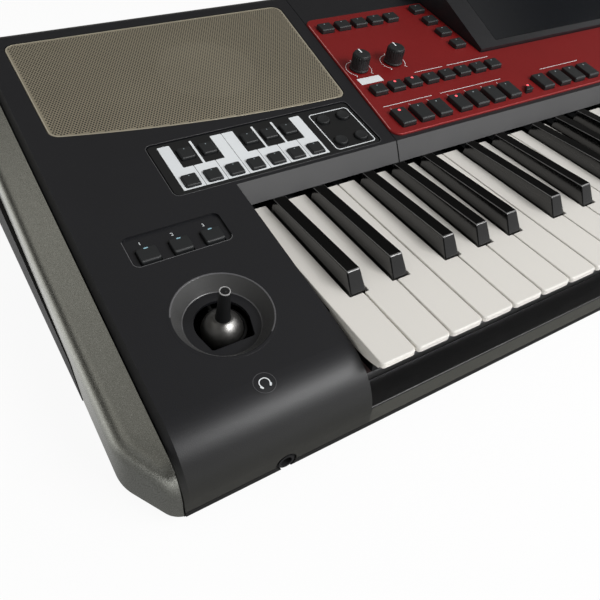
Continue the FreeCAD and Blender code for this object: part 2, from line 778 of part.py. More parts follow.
def end_cap():
    """Grey side moulding: rolled nose, flat top, stepped foot and a rounded outer edge."""
    side = side_wire(CASE_LEFT, 0, CAP_DROP, CAP_ROLL, CAP_FOOT - 1)
    shape = pull(side, CAP_INNER - CASE_LEFT).common(cap_plan(CASE_LEFT, CASE_FRONT, BIG))
    shape = shape.makeFillet(CAP_EDGE, cap_rim(shape)).cut(cap_foot(0))
    start = CASE_LEFT + CAP_EDGE
    hollow = pull(side_wire(start, WALL, CAP_DROP, CAP_ROLL, CAP_FOOT), CAP_INNER + 1 - start)
    hollow = hollow.common(cap_plan(CASE_LEFT + WALL, CASE_FRONT + WALL, BIG))
    nose = block((-BIG, BIG), (-BIG, CASE_FRONT + CAP_SOLID), (-BIG, BIG))
    return shape.cut(hollow.cut([cap_foot(WALL), nose]))


def end_block(inset, low, high):
    """Prism of the whole case's plan, set in by inset, between two heights."""
    left = cap_plan(CASE_LEFT + inset, CASE_FRONT + inset, BIG)
    whole = left.fuse(mirrored(left)).removeSplitter()
    return whole.common(block((-BIG, BIG), (-BIG, BIG), (low, high)))


def side_wall():
    """Dark raked wall below an end cap and round its rear corner, with a shadow gap under the cap."""
    outer = cap_plan(CASE_LEFT + SIDE_SET, CASE_FRONT + SIDE_SET, BIG)
    thick = SIDE_SET + SIDE_WALL
    inner = cap_plan(CASE_LEFT + thick, CASE_FRONT + thick, BIG)
    room = block((-BIG, CAP_INNER), (CAP_STEP_Y, BIG), (FLOOR_TOP, BIG))
    neck = outer.cut(inner).common(room).common(cap_foot(-LINE_GAP))
    return neck.fuse(side_swell().cut(inner).common(cap_foot(-SIDE_GAP)))


def side_swell():
    """Prism whose outer side stands out from the cap by a little, and by more towards the rear."""
    front, rear = CAP_STEP_Y + CAP_STEP_CLEAR, CASE_REAR - SIDE_SET
    near, far = [CASE_LEFT - swell for swell in SIDE_SWELL]
    points = [(near, front), (CAP_INNER, front), (CAP_INNER, rear), (far, rear)]
    prism = slab(points, FLOOR_FOOT, BIG)
    tail = [e for e in prism.Edges if upright(e) and e.BoundBox.XMax < far + 1]
    return prism.makeFillet(CAP_CORNER, tail)


def floor_plan():
    plate = end_block(SIDE_SET, FLOOR_FOOT, FLOOR_TOP)
    corner = block((-BIG, CAP_INNER), (-BIG, CAP_STEP_Y + CAP_STEP_CLEAR), (-BIG, BIG))
    lip = block((CAP_INNER + CAP_GAP, 2 * MIDDLE - CAP_INNER - CAP_GAP),
                (CASE_FRONT, CASE_FRONT + SIDE_WALL), (FLOOR_FOOT, FLOOR_TOP))
    return plate.cut(both_sides(corner)).fuse(lip)


def screw_spots():
    xs = [MIDDLE + side * step for side in (-1, 1) for step in (SPREAD_NEAR, SPREAD_FAR)]
    return [(x, y) for x in xs for y in (SPREAD_FRONT, CASE_REAR - SPREAD_REAR)]


def screw(spot, spare):
    x, y = spot
    head = drum(SCREW_HEAD + spare, vec(x, y, FLOOR_FOOT), vec(0, 0, SCREW_SINK + spare))
    shank = drum(SCREW_SHANK + spare, vec(x, y, FLOOR_FOOT), vec(0, 0, SCREW_LENGTH))
    return head.fuse(shank).removeSplitter()


def case_screws():
    return Part.makeCompound([screw(spot, 0) for spot in screw_spots()])


def bottom_case():
    holes = [screw(spot, LINE_GAP) for spot in screw_spots()]
    plate = floor_plan().fuse(both_sides(side_wall()))
    return plate.cut(holes + [jack_hole()]).removeSplitter()


def rubber_feet():
    feet = []
    for x, y in screw_spots():
        shift = FOOT_SHIFT if x < MIDDLE else -FOOT_SHIFT
        centre = vec(x + shift, y, GROUND)
        foot = drum(FOOT_RADIUS, centre, vec(0, 0, FOOT_HEIGHT))
        feet.append(foot.makeChamfer(1.0, [e for e in foot.Edges if e.BoundBox.ZMax < GROUND + 1]))
    return Part.makeCompound(feet)


def front_rail():
    rear = CASE_FRONT + RAIL_DEPTH
    points = [(CASE_FRONT, FACE_FOOT), (CASE_FRONT, RAIL_TOP), (rear, RAIL_TOP)]
    points += [(rear, RAIL_TOP - RAIL_SKIN), (CASE_FRONT + WALL, RAIL_TOP - RAIL_SKIN)]
    points.append((CASE_FRONT + WALL, FACE_FOOT))
    rail = bar(points, (WELL_LEFT, WELL_RIGHT))
    edge = [e for e in rail.Edges if e.BoundBox.YMax < CASE_FRONT + 0.01
            and e.BoundBox.ZMin > RAIL_TOP - 0.01]
    return rail.makeFillet(1.0, edge)


def rear_panel():
    inner = SHELL_LEFT + WALL + LINE_GAP
    x_span = (inner, 2 * MIDDLE - inner)
    y_span = (CASE_REAR - REAR_SET - REAR_PLATE, CASE_REAR - REAR_SET)
    plate = block(x_span, y_span, (FLOOR_TOP, FALL_FOOT - LINE_GAP))
    return plate.cut(socket_holes())


# Deck furniture
def switch_spots():
    return [(CHEEK_MID + step * SWITCH_PITCH, SWITCH_V) for step in (-1, 0, 1)]


def note_spots():
    start = PAD_LEFT + NOTE_START
    return [(start + step * NOTE_PITCH, NOTE_V) for step in range(WHITES_PER_OCTAVE)]


def sharp_spots():
    start = PAD_LEFT + NOTE_START - NOTE_PITCH / 2
    return [(start + seam * NOTE_PITCH, SHARP_V) for seam in SHARP_SHIFTS]


def preset_spots():
    return [(PAD_RIGHT - edge, v) for edge in PRESET_FROM_EDGE for v in PRESET_V]


def lower_spots():
    spots = []
    for start, count in zip(LOWER_STARTS, LOWER_COUNTS):
        spots += [(SEAM + start + step * LOWER_PITCH, LOWER_V) for step in range(count)]
    spots.append((SEAM + LOWER_SINGLE, LOWER_V))
    return spots + [(2 * MIDDLE - u, v) for u, v in spots]


def wedge_spots():
    return [(SEAM + WEDGE_U, WEDGE_V), (2 * MIDDLE - SEAM - WEDGE_U, WEDGE_V)]


def upper_spots():
    spots = [(SEAM + UPPER_START + step * UPPER_PITCH, UPPER_V) for step in range(UPPER_COUNT)]
    spots += [(SEAM + BLOCK_START + step * UPPER_PITCH, BLOCK_V) for step in range(BLOCK_COUNT)]
    edge = MIDDLE - BEZEL_WIDTH / 2 - PAGE_FROM_BEZEL
    spots += [(edge, PAGE_V + step * PAGE_PITCH) for step in range(PAGE_COUNT)]
    return spots + [(2 * MIDDLE - u, v) for u, v in spots]


def knob_spots():
    return [(SEAM + KNOB_U + step * KNOB_PITCH, KNOB_V) for step in (0, 1)]


def dial_spot():
    return (2 * MIDDLE - SEAM - DIAL_U, DIAL_V)


def button(spot, size, seat, top, edge):
    """A moulded cap with a collar that holds it under its panel, in deck places."""
    cap = round_top(tile(spot, size, seat - BUTTON_STEM, top, edge), edge * 0.8)
    wide = (size[0] + 2 * COLLAR, size[1] + 2 * COLLAR)
    collar_top = seat - BUTTON_STEM + COLLAR
    return cap.fuse(tile(spot, wide, seat - BUTTON_STEM, collar_top, edge)).removeSplitter()


def hole(spot, size):
    grown = (size[0] + 2 * BUTTON_GAP, size[1] + 2 * BUTTON_GAP)
    return tile(spot, grown, -BIG / 2, BIG / 2, BUTTON_EDGE)


def button_seat():
    """Underside of the deck, less the gap that the collar keeps."""
    return -WALL - BUTTON_GAP


def round_button(spot, radius, top):
    low = button_seat() - BUTTON_STEM
    cap = round_top(drum(radius, vec(*spot, low), vec(0, 0, top - low)), BUTTON_EDGE)
    collar = drum(radius + COLLAR, vec(*spot, low), vec(0, 0, COLLAR))
    return cap.fuse(collar).removeSplitter()


def wedge_ring(spot, grow):
    half = WEDGE_SIZE[0] / 2 + grow
    low = spot[1] - WEDGE_SIZE[1] / 2 - grow
    return [(spot[0] - half, low), (spot[0] + half, low), (spot[0] + half, low + 2 * half)]


def wedge_button(spot):
    low = button_seat() - BUTTON_STEM
    cap = slab(wedge_ring(spot, 0), low, BUTTON_TOP)
    return cap.fuse(slab(wedge_ring(spot, COLLAR), low, low + COLLAR)).removeSplitter()


def switch_holes():
    return [hole(spot, SWITCH_SIZE) for spot in switch_spots()]


def pad_holes():
    holes = [hole(spot, NOTE_SIZE) for spot in note_spots()]
    holes += [hole(spot, SHARP_SIZE) for spot in sharp_spots()]
    for spot in preset_spots():
        holes.append(drum(PRESET_RADIUS + BUTTON_GAP, vec(*spot, -BIG / 2), vec(0, 0, BIG)))
    return holes


def deck_holes():
    holes = [hole(spot, LOWER_SIZE) for spot in lower_spots()]
    holes += [hole(spot, UPPER_SIZE) for spot in upper_spots()]
    holes += [slab(wedge_ring(spot, BUTTON_GAP), -BIG / 2, BIG / 2) for spot in wedge_spots()]
    for spot in knob_spots() + [dial_spot()]:
        holes.append(drum(SHAFT_RADIUS + RUN_FIT, vec(*spot, -BIG / 2), vec(0, 0, BIG)))
    return holes


def assign_switches():
    pieces = {}
    for number, spot in enumerate(switch_spots(), 1):
        shape = button(spot, SWITCH_SIZE, button_seat(), SWITCH_RISE, BUTTON_EDGE)
        pieces["assign_switch_%d" % number] = on_deck(shape)
    return pieces


def button_groups():
    seat = button_seat()
    notes = [button(spot, NOTE_SIZE, seat, NOTE_RISE, BUTTON_EDGE) for spot in note_spots()]
    notes += [button(spot, SHARP_SIZE, seat, NOTE_RISE, BUTTON_EDGE) for spot in sharp_spots()]
    presets = [round_button(spot, PRESET_RADIUS, NOTE_RISE) for spot in preset_spots()]
    lower = [button(spot, LOWER_SIZE, seat, BUTTON_TOP, BUTTON_EDGE) for spot in lower_spots()]
    lower += [wedge_button(spot) for spot in wedge_spots()]
    upper = [button(spot, UPPER_SIZE, seat, BUTTON_TOP, BUTTON_EDGE) for spot in upper_spots()]
    groups = {"note_buttons": notes, "preset_buttons": presets}
    groups["lower_row_buttons"] = lower
    groups["upper_row_buttons"] = upper
    return {name: on_deck(Part.makeCompound(shapes)) for name, shapes in groups.items()}


def scale_pad():
    centre = ((PAD_LEFT + PAD_RIGHT) / 2, PAD_V)
    plate = tile(centre, PAD_SIZE, -PAD_PLATE - PAD_SINK, -PAD_SINK, GRILLE_CORNER / 2)
    return on_deck(plate.cut(pad_holes()))


def control_panel():
    front = PLATE_FRONT
    left = SEAM + SEAM_GAP
    lean = SEAM_SLANT * (PLATE_REAR - front)
    right = 2 * MIDDLE - left
    plan = [(left, front), (right, front), (right - lean, PLATE_REAR), (left + lean, PLATE_REAR)]
    plate = round_uprights(slab(plan, 0, PLATE_THICK), PLATE_CORNER)
    half = BEZEL_WIDTH / 2 + LINE_GAP
    window = block((MIDDLE - half, MIDDLE + half), (BEZEL_FRONT - LINE_GAP, BIG), (-1, BIG))
    return on_deck(plate.cut([window] + deck_holes()))


def knob(spot, radius, height):
    base = PLATE_THICK + KNOB_LIFT
    body = drum(radius, vec(*spot, base), vec(0, 0, height))
    body = round_top(body, BUTTON_EDGE)
    top = base + height / 2
    shaft = drum(SHAFT_RADIUS, vec(*spot, top - SHAFT_LENGTH - height / 2), vec(0, 0, SHAFT_LENGTH))
    return on_deck(body.fuse(shaft).removeSplitter())


def value_dial():
    spot = dial_spot()
    body = knob(spot, DIAL_RADIUS, DIAL_HEIGHT)
    dimple_z = PLATE_THICK + KNOB_LIFT + DIAL_HEIGHT + DIAL_RADIUS / 4
    dimple = Part.makeSphere(DIAL_RADIUS / 3, vec(spot[0], spot[1] - DIAL_RADIUS / 2, dimple_z))
    return body.cut(on_deck(dimple))


# Display
def bezel_ring(inset):
    """Side outline of the display housing in deck places (v, h)."""
    low = -inset if inset else 0.0
    slope = (BEZEL_RISE - BEZEL_LIP) / (BEZEL_CREST - BEZEL_FRONT)
    drop = inset * math.sqrt(1 + slope * slope)
    front = BEZEL_FRONT + inset
    lip = BEZEL_LIP + slope * inset - drop
    crest = BEZEL_RISE - drop
    return [(front, low), (front, lip), (BEZEL_CREST, crest), (BEZEL_REAR - inset, low)]


def screen_tilt():
    return math.degrees(math.atan2(BEZEL_RISE - BEZEL_LIP, BEZEL_CREST - BEZEL_FRONT))


def on_screen(shape):
    """Places a shape drawn about the middle of the screen's face."""
    middle_v = (BEZEL_FRONT + BEZEL_CREST) / 2
    middle_h = (BEZEL_LIP + BEZEL_RISE) / 2
    turn = FreeCAD.Rotation(vec(1, 0, 0), screen_tilt())
    placed = shape.copy()
    placed.Placement = FreeCAD.Placement(vec(MIDDLE, middle_v, middle_h), turn)
    return on_deck(placed)


def display_bezel():
    half = BEZEL_WIDTH / 2
    shell = bar(bezel_ring(0), (MIDDLE - half, MIDDLE + half))
    inner = bar(bezel_ring(BEZEL_WALL), (MIDDLE - half + BEZEL_WALL, MIDDLE + half - BEZEL_WALL))
    shell = on_deck(shell.cut(inner))
    seat = (SCREEN_SIZE[0] + 2 * LINE_GAP, SCREEN_SIZE[1] + 2 * LINE_GAP)
    window = (SCREEN_SIZE[0] - 2 * SCREEN_LEDGE, SCREEN_SIZE[1] - 2 * SCREEN_LEDGE)
    pocket = on_screen(tile((0, 0), seat, -SCREEN_THICK, WALL, BUTTON_EDGE))
    opening = on_screen(tile((0, 0), window, -2 * BEZEL_WALL, WALL, BUTTON_EDGE))
    return shell.cut([pocket, opening])


def display_screen():
    return on_screen(tile((0, 0), SCREEN_SIZE, -SCREEN_THICK, 0, BUTTON_EDGE))


# Joystick
def revolve(points, centre_u, centre_v):
    """Turns an outline of (radius, height) about an upright line on the deck."""
    ring = [vec(radius, 0, height) for radius, height in points]
    face = Part.Face(Part.makePolygon(ring + ring[:1]))
    solid = face.revolve(vec(0, 0, 0), vec(0, 0, 1), 360)
    solid.translate(vec(centre_u, centre_v, 0))
    return solid


def joystick_cup():
    floor_low = -CUP_DEPTH - CUP_SKIN
    skirt_low = -BALL_DEPTH - 2 * RING_HALF
    outline = [(CUP_RADIUS, 0), (CUP_FLOOR_RADIUS, -CUP_DEPTH), (SKIRT_INNER, -CUP_DEPTH)]
    outline += [(SKIRT_INNER, skirt_low), (SKIRT_OUTER, skirt_low), (SKIRT_OUTER, floor_low)]
    outline += [(CUP_RADIUS, floor_low)]
    cup = revolve(outline, CHEEK_MID, JOY_V)
    lid = drum(SKIRT_INNER, vec(CHEEK_MID, JOY_V, floor_low), vec(0, 0, CUP_SKIN))
    arch = drum(HATCH_HALF, vec(CHEEK_MID, JOY_V, floor_low - 1), vec(0, 0, CUP_SKIN + 2))
    sill = block((CHEEK_MID - HATCH_HALF, CHEEK_MID + HATCH_HALF),
                 (JOY_V - HATCH_FRONT, JOY_V), (floor_low - 1, 0))
    cut_back = block((CHEEK_MID - BIG, CHEEK_MID + BIG), (JOY_V - BIG, JOY_V), (-BIG, BIG))
    lid = lid.cut([arch.cut(cut_back), sill])
    return on_deck(cup.fuse(lid).cut(trunnion_holes()).removeSplitter())


def trunnion_holes():
    start = vec(CHEEK_MID, JOY_V - SKIRT_OUTER, -BALL_DEPTH)
    return drum(TRUNNION + RUN_FIT, start, vec(0, 2 * SKIRT_OUTER, 0))


def joystick_gimbal():
    """Half ring on two pins; the lever's own pin turns in its closed side."""
    low = vec(CHEEK_MID, JOY_V, -BALL_DEPTH - RING_HALF)
    reach = vec(0, 0, 2 * RING_HALF)
    ring = drum(RING_OUTER, low, reach).cut(drum(RING_INNER, low, reach))
    pin = (SKIRT_INNER + SKIRT_OUTER) / 2
    front = drum(TRUNNION, vec(CHEEK_MID, JOY_V - pin, -BALL_DEPTH), vec(0, pin - RING_INNER - RUN_FIT, 0))
    rear = drum(TRUNNION, vec(CHEEK_MID, JOY_V + RING_INNER + RUN_FIT, -BALL_DEPTH),
                vec(0, pin - RING_INNER - RUN_FIT, 0))
    cross = drum(TRUNNION + RUN_FIT, vec(CHEEK_MID - RING_OUTER, JOY_V, -BALL_DEPTH),
                 vec(2 * RING_OUTER, 0, 0))
    open_side = block((-BIG, CHEEK_MID - 2 * TRUNNION), (-BIG, BIG), (-BIG, BIG))
    return on_deck(ring.cut(open_side).fuse([front, rear]).cut(cross).removeSplitter())


def joystick_lever():
    ball = Part.makeSphere(BALL_RADIUS, vec(CHEEK_MID, JOY_V, -BALL_DEPTH))
    start = vec(CHEEK_MID, JOY_V, -BALL_DEPTH)
    stick = Part.makeCone(STICK_BASE_RADIUS, STICK_TIP_RADIUS, STICK_TOP + BALL_DEPTH, start)
    half = RING_OUTER - LINE_GAP
    cross = drum(TRUNNION, start, vec(half, 0, 0))
    return on_deck(ball.fuse([round_top(stick, 0.8), cross]).removeSplitter())


# Speakers
def grille():
    return on_deck(grille_slab(0, -GRILLE_PLATE - GRILLE_SINK, -GRILLE_SINK))


def speaker():
    seat = -WALL - BAFFLE
    rim = SPEAKER_FLANGE
    back = seat - SPEAKER_DEPTH
    basket = seat - SPEAKER_BASKET
    outline = [(rim, seat), (rim, seat - SPEAKER_PLATE), (SPEAKER_CONE, seat - SPEAKER_PLATE)]
    outline += [(MAGNET_RADIUS, basket), (MAGNET_RADIUS, back), (0, back)]
    dust = SPEAKER_CONE / 3
    outline += [(0, basket + dust), (dust, basket + dust / 2), (SPEAKER_CONE - WALL, seat)]
    return on_deck(revolve(outline, SPEAKER_U, SPEAKER_V))


# Sockets
def socket_body(x, size, mouth, depth):
    """A block behind the rear panel whose mouth opens to the rear."""
    rear = CASE_REAR - LINE_GAP
    wall = CASE_REAR - REAR_SET - REAR_PLATE
    half = (size[0] / 2, size[1] / 2)
    body = block((x - half[0], x + half[0]), (rear - SOCKET_DEPTH, wall),
                 (SOCKET_Z - half[1], SOCKET_Z + half[1]))
    return body.fuse(socket_nose(x, mouth, 1.0, 0)).cut(socket_pocket(x, mouth, depth))


def socket_nose(x, mouth, skin, spare):
    rear = CASE_REAR - LINE_GAP
    low = CASE_REAR - REAR_SET - REAR_PLATE - 1
    half = (mouth[0] / 2 + skin + spare, mouth[1] / 2 + skin + spare)
    return block((x - half[0], x + half[0]), (low, rear + spare),
                 (SOCKET_Z - half[1], SOCKET_Z + half[1]))


def socket_pocket(x, mouth, depth):
    rear = CASE_REAR - LINE_GAP
    half = (mouth[0] / 2, mouth[1] / 2)
    return block((x - half[0], x + half[0]), (rear - depth, rear + 1),
                 (SOCKET_Z - half[1], SOCKET_Z + half[1]))


def round_socket(x, size, collar, bore, depth):
    rear = CASE_REAR - LINE_GAP
    wall = CASE_REAR - REAR_SET - REAR_PLATE
    half = size / 2
    body = block((x - half, x + half), (rear - SOCKET_DEPTH, wall),
                 (SOCKET_Z - half, SOCKET_Z + half))
    nose = drum(collar, vec(x, wall - 1, SOCKET_Z), vec(0, rear - wall + 1, 0))
    mouth = drum(bore, vec(x, rear - depth, SOCKET_Z), vec(0, depth + 1, 0))
    return body.fuse(nose).cut(mouth).removeSplitter()


def round_gap(x, collar):
    reach = vec(0, SOCKET_DEPTH, 0)
    return drum(collar + LINE_GAP, vec(x, CASE_REAR - SOCKET_DEPTH / 2, SOCKET_Z), reach)


def socket_holes():
    holes = [round_gap(x, JACK_BORE + 2) for x in JACK_PLACES]
    holes += [round_gap(x, DIN_BORE + 1) for x in DIN_PLACES]
    holes += [socket_nose(USB_PLACE, USB_MOUTH, 1.0, LINE_GAP)]
    holes += [socket_nose(USB_B_PLACE, USB_B_MOUTH, 1.0, LINE_GAP)]
    holes += [socket_nose(INLET_PLACE, INLET_MOUTH, 1.0, LINE_GAP)]
    holes.append(round_gap(POWER_PLACE, POWER_RADIUS))
    return holes


def rear_sockets():
    parts = [round_socket(x, JACK_BODY, JACK_BORE + 2, JACK_BORE, JACK_DEPTH) for x in JACK_PLACES]
    parts += [round_socket(x, DIN_BODY, DIN_BORE + 1, DIN_BORE, JACK_DEPTH) for x in DIN_PLACES]
    parts.append(socket_body(USB_PLACE, USB_BODY, USB_MOUTH, JACK_DEPTH))
    parts.append(socket_body(USB_B_PLACE, USB_B_BODY, USB_B_MOUTH, JACK_DEPTH))
    return Part.makeCompound(parts)


def mains_inlet():
    body = socket_body(INLET_PLACE, INLET_BODY, INLET_MOUTH, INLET_DEPTH)
    floor = CASE_REAR - LINE_GAP - INLET_DEPTH
    wide, tall, reach = INLET_PIN
    for step, rise in ((-1, -1), (0, 1), (1, -1)):
        x = INLET_PLACE + step * INLET_PIN_PITCH
        z = SOCKET_Z + rise * wide
        pin = block((x - wide / 2, x + wide / 2), (floor - 1, floor + reach),
                    (z - tall / 2, z + tall / 2))
        body = body.fuse(pin)
    return body.removeSplitter()


def power_button():
    rear = CASE_REAR - LINE_GAP
    wall = CASE_REAR - REAR_SET - REAR_PLATE
    tail = wall - LINE_GAP - POWER_TRAVEL
    cap = drum(POWER_RADIUS, vec(POWER_PLACE, tail, SOCKET_Z), vec(0, rear - tail, 0))
    collar = drum(POWER_RADIUS + COLLAR, vec(POWER_PLACE, tail, SOCKET_Z), vec(0, POWER_TRAVEL, 0))
    return cap.fuse(collar).removeSplitter()


def headphone_jack():
    centre = vec(CHEEK_MID, CASE_FRONT, JACK_Z)
    tube = drum(JACK_COLLAR, centre, vec(0, JACK_BODY, 0))
    washer = drum(JACK_WASHER, vec(CHEEK_MID, CASE_FRONT + 1, JACK_Z), vec(0, WALL, 0))
    half = JACK_BODY / 2
    body = block((CHEEK_MID - half, CHEEK_MID + half), (CASE_FRONT + WALL, CASE_FRONT + JACK_BODY),
                 (FLOOR_TOP, FLOOR_TOP + JACK_TALL))
    bore = drum(JACK_BORE, vec(CHEEK_MID, CASE_FRONT - 1, JACK_Z), vec(0, JACK_DEPTH + 1, 0))
    return tube.fuse([washer, body]).cut(bore).removeSplitter()


# Electronics
def board(x_span, y_span, chips):
    """A circuit board on posts that stand on the floor, with its larger parts."""
    low = FLOOR_TOP + BOARD_POST
    sheet = block(x_span, y_span, (low, low + BOARD_THICK))
    posts = []
    inset = 2 * POST_RADIUS
    for x in (x_span[0] + inset, x_span[1] - inset):
        for y in (y_span[0] + inset, y_span[1] - inset):
            posts.append(drum(POST_RADIUS, vec(x, y, FLOOR_TOP), vec(0, 0, BOARD_POST)))
    lumps = []
    for x, y, width, depth, height in chips:
        lumps.append(block((x_span[0] + x, x_span[0] + x + width),
                           (y_span[0] + y, y_span[0] + y + depth),
                           (low, low + BOARD_THICK + height)))
    return sheet.fuse(posts + lumps).removeSplitter()


def main_board():
    rear = CASE_REAR - BOARD_REAR
    chips = [(CHIP * step, CHIP, CHIP / 2, CHIP / 2, CHIP_HEIGHT) for step in (1, 3, 5, 7)]
    chips.append((MAIN_WIDTH / 2, CHIP / 4, CHIP, CHIP / 2, CHIP_HEIGHT))
    x_span = (MIDDLE - MAIN_WIDTH / 2, MIDDLE + MAIN_WIDTH / 2)
    return board(x_span, (rear - MAIN_DEPTH, rear), chips)


def power_supply():
    rear = CASE_REAR - BOARD_REAR
    left = SHELL_LEFT + CHIP
    chips = [(CHIP, CHIP, CHIP, CHIP, TALL_PART), (CHIP, 3 * CHIP, CHIP, CHIP / 2, TALL_PART)]
    return board((left, left + SUPPLY_WIDTH), (rear - SUPPLY_DEPTH, rear), chips)


def amplifier_board():
    rear = CASE_REAR - BOARD_REAR
    right = 2 * MIDDLE - SHELL_LEFT - CHIP
    fins = [(CHIP / 2 + step * CHIP / 3, CHIP, CHIP / 8, CHIP, TALL_PART) for step in range(11)]
    return board((right - AMP_WIDTH, right), (rear - AMP_DEPTH, rear), fins)


def deck_board(u_span, v_span):
    """A button board hung from the underside of the deck on four bosses."""
    top = button_seat() - BUTTON_STEM - BUTTON_TRAVEL - BUTTON_GAP
    sheet = block(u_span, v_span, (top - BOARD_THICK, top))
    bosses = []
    for u in (u_span[0] + POST_RADIUS, u_span[1] - POST_RADIUS):
        for v in (v_span[0] + POST_RADIUS, v_span[1] - POST_RADIUS):
            bosses.append(drum(POST_RADIUS, vec(u, v, top), vec(0, 0, -WALL - top)))
    return sheet.fuse(bosses).removeSplitter()


def panel_boards():
    margin = 4 * POST_RADIUS
    low = LOWER_V - LOWER_SIZE[1] / 2 - margin / 2
    high = UPPER_V + UPPER_SIZE[1] / 2 + margin
    rows = deck_board((SEAM + POST_RADIUS, 2 * MIDDLE - SEAM - POST_RADIUS), (low, high))
    half = PAD_SIZE[1] / 2
    pad = deck_board((PAD_LEFT, PAD_RIGHT), (PAD_V - half, PAD_V + half))
    wide = SWITCH_POCKET[0] / 2 + 2 * POST_RADIUS
    deep = SWITCH_POCKET[1] / 2
    switches = deck_board((CHEEK_MID - wide, CHEEK_MID + wide),
                          (SWITCH_POCKET_V - deep, SWITCH_POCKET_V + deep))
    return on_deck(Part.makeCompound([rows, pad, switches]))


# All pieces
def build():
    pieces = keys()
    pieces.update(assign_switches())
    pieces.update(button_groups())
    for number, spot in enumerate(knob_spots(), 1):
        pieces["control_knob_%d" % number] = knob(spot, KNOB_RADIUS, KNOB_HEIGHT)
    makers = [
        left_shell, right_shell, centre_frame, control_panel, bottom_case, front_rail,
        rear_panel, display_bezel, display_screen, scale_pad, joystick_cup, joystick_gimbal,
        joystick_lever, key_chassis, pivot_rod, stop_felt, contact_board, contact_strip,
        main_board, power_supply, amplifier_board, panel_boards, headphone_jack, rear_sockets,
        mains_inlet, power_button, rubber_feet, case_screws, value_dial,
    ]
    for maker in makers:
        pieces[maker.__name__] = maker()
    for name, maker in (("end_cap", end_cap), ("grille", grille), ("speaker", speaker)):
        shape = maker()
        pieces["left_" + name] = shape
        pieces["right_" + name] = mirrored(shape)
    return pieces


def export(pieces):
    os.makedirs("parts", exist_ok=True)
    for name, shape in pieces.items():
        placed = shape.copy()
        placed.translate(HOME)
        placed.exportStep(os.path.join("parts", name + ".step"))


export(build())
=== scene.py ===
# %% [markdown]
# # Arranger keyboard
# The CAD model is loaded first and stays where it is. Everything that follows dresses it: small
# rounded shapes, printed marks and finishes. Sizes are kept in millimetres from the corner of the
# lowest white key, because that is how the instrument was measured, and are turned into metres only
# when a point is placed.

# %% Load the frame
import math
import bmesh
import bpy
from mathutils import Matrix, Vector
from mathutils.geometry import tessellate_polygon


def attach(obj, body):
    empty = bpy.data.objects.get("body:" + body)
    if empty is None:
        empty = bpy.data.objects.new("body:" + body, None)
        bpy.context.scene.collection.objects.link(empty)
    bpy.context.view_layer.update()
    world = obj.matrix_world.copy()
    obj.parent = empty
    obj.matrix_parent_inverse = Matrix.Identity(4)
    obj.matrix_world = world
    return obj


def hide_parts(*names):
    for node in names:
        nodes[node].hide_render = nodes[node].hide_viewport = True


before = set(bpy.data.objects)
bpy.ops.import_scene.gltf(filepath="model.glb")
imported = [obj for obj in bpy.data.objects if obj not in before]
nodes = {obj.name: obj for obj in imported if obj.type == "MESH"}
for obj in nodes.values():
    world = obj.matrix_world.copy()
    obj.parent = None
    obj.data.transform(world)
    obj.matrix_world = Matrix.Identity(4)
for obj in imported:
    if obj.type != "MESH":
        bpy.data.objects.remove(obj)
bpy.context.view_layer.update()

# %% Places on the instrument
# Lengths are in millimetres, from the corner of the lowest white key. SLANT is how far the ends of the
# panel lean inwards for each millimetre up the slope.
MM = 0.001
MIDDLE, HALF_DEPTH, KEY_TOP = 381.0, 185.0, 54.5
TILT = math.radians(8.42)
COS, SIN = math.cos(TILT), math.sin(TILT)
DECK_LOW = -8.2
CHEEK = -54.0
SEAM, SLANT = 126.0, 0.119
FALL_Y, REAR_Y = 153.5, 374.0
PLATE_FRONT = FALL_Y / COS + 3.5
DECK_REAR = REAR_Y / COS
PAD = (-41.0, 116.0)
PAD_V = PLATE_FRONT + 25.0


def at(x, y, z):
    """A place in millimetres from the corner of the lowest key, in metres of the frame."""
    return Vector((x - MIDDLE, y - HALF_DEPTH, z + KEY_TOP)) * MM


def near(x, y, h):
    """Millimetres about a template's own middle, in metres."""
    return Vector((x, y, h)) * MM


def deck(u, v, h=0.0):
    """A place on the sloping deck: along it, up the slope, above the surface."""
    return at(u, v * COS - h * SIN, DECK_LOW + v * SIN + h * COS)


def deck_about(u, v):
    """Places a shape that is drawn about its own middle at a spot on the deck."""
    return lambda x, y, h: deck(u + x, v + y, h)


def deck_height(y, depth=0.0):
    """Height of the slope at y, or of a parallel slope that much below it."""
    return DECK_LOW + y * SIN / COS - depth / COS


def sided(x, side=-1):
    """The same x on the right half of the instrument; side 1 leaves it on the left."""
    return MIDDLE + side * (x - MIDDLE)


def deck_on(side):
    """Places on the deck that are drawn for the left half and may be mirrored."""
    return lambda u, v, h: deck(sided(u, side), v, h)


def held(value):
    """Held between nought and one."""
    return min(1.0, max(0.0, value))


print("deck front", [round(v, 4) for v in deck(0, FALL_Y / COS)])

# %% [markdown]
# ## Drawing outlines
# Nearly every piece is an outline pulled to a height with a rounded upper edge. A bevel modifier
# could round the edges later, but it has one width for a whole piece. Here each outline point has
# its own radius, so a key can be soft at its lip and crisp along its sides.


# %% Outline helpers
NEARLY_STRAIGHT = 1.56


def soft_ring(corners, steps=4):
    """Counter-clockwise outline. Each corner is (x, y, radius)."""
    ring = []
    for i, (x, y, radius) in enumerate(corners):
        here = Vector((x, y))
        back = (Vector(corners[i - 1][:2]) - here).normalized()
        ahead = (Vector(corners[(i + 1) % len(corners)][:2]) - here).normalized()
        half = back.angle(ahead) / 2
        if radius <= 0 or half > NEARLY_STRAIGHT:
            ring.append(here)
            continue
        centre = here + (back + ahead).normalized() * (radius / math.sin(half))
        start = here + back * (radius / math.tan(half)) - centre
        end = here + ahead * (radius / math.tan(half)) - centre
        first = math.atan2(start.y, start.x)
        sweep = (math.atan2(end.y, end.x) - first + math.pi) % (2 * math.pi) - math.pi
        for k in range(steps + 1):
            turn = first + sweep * k / steps
            ring.append(centre + radius * Vector((math.cos(turn), math.sin(turn))))
    return ring


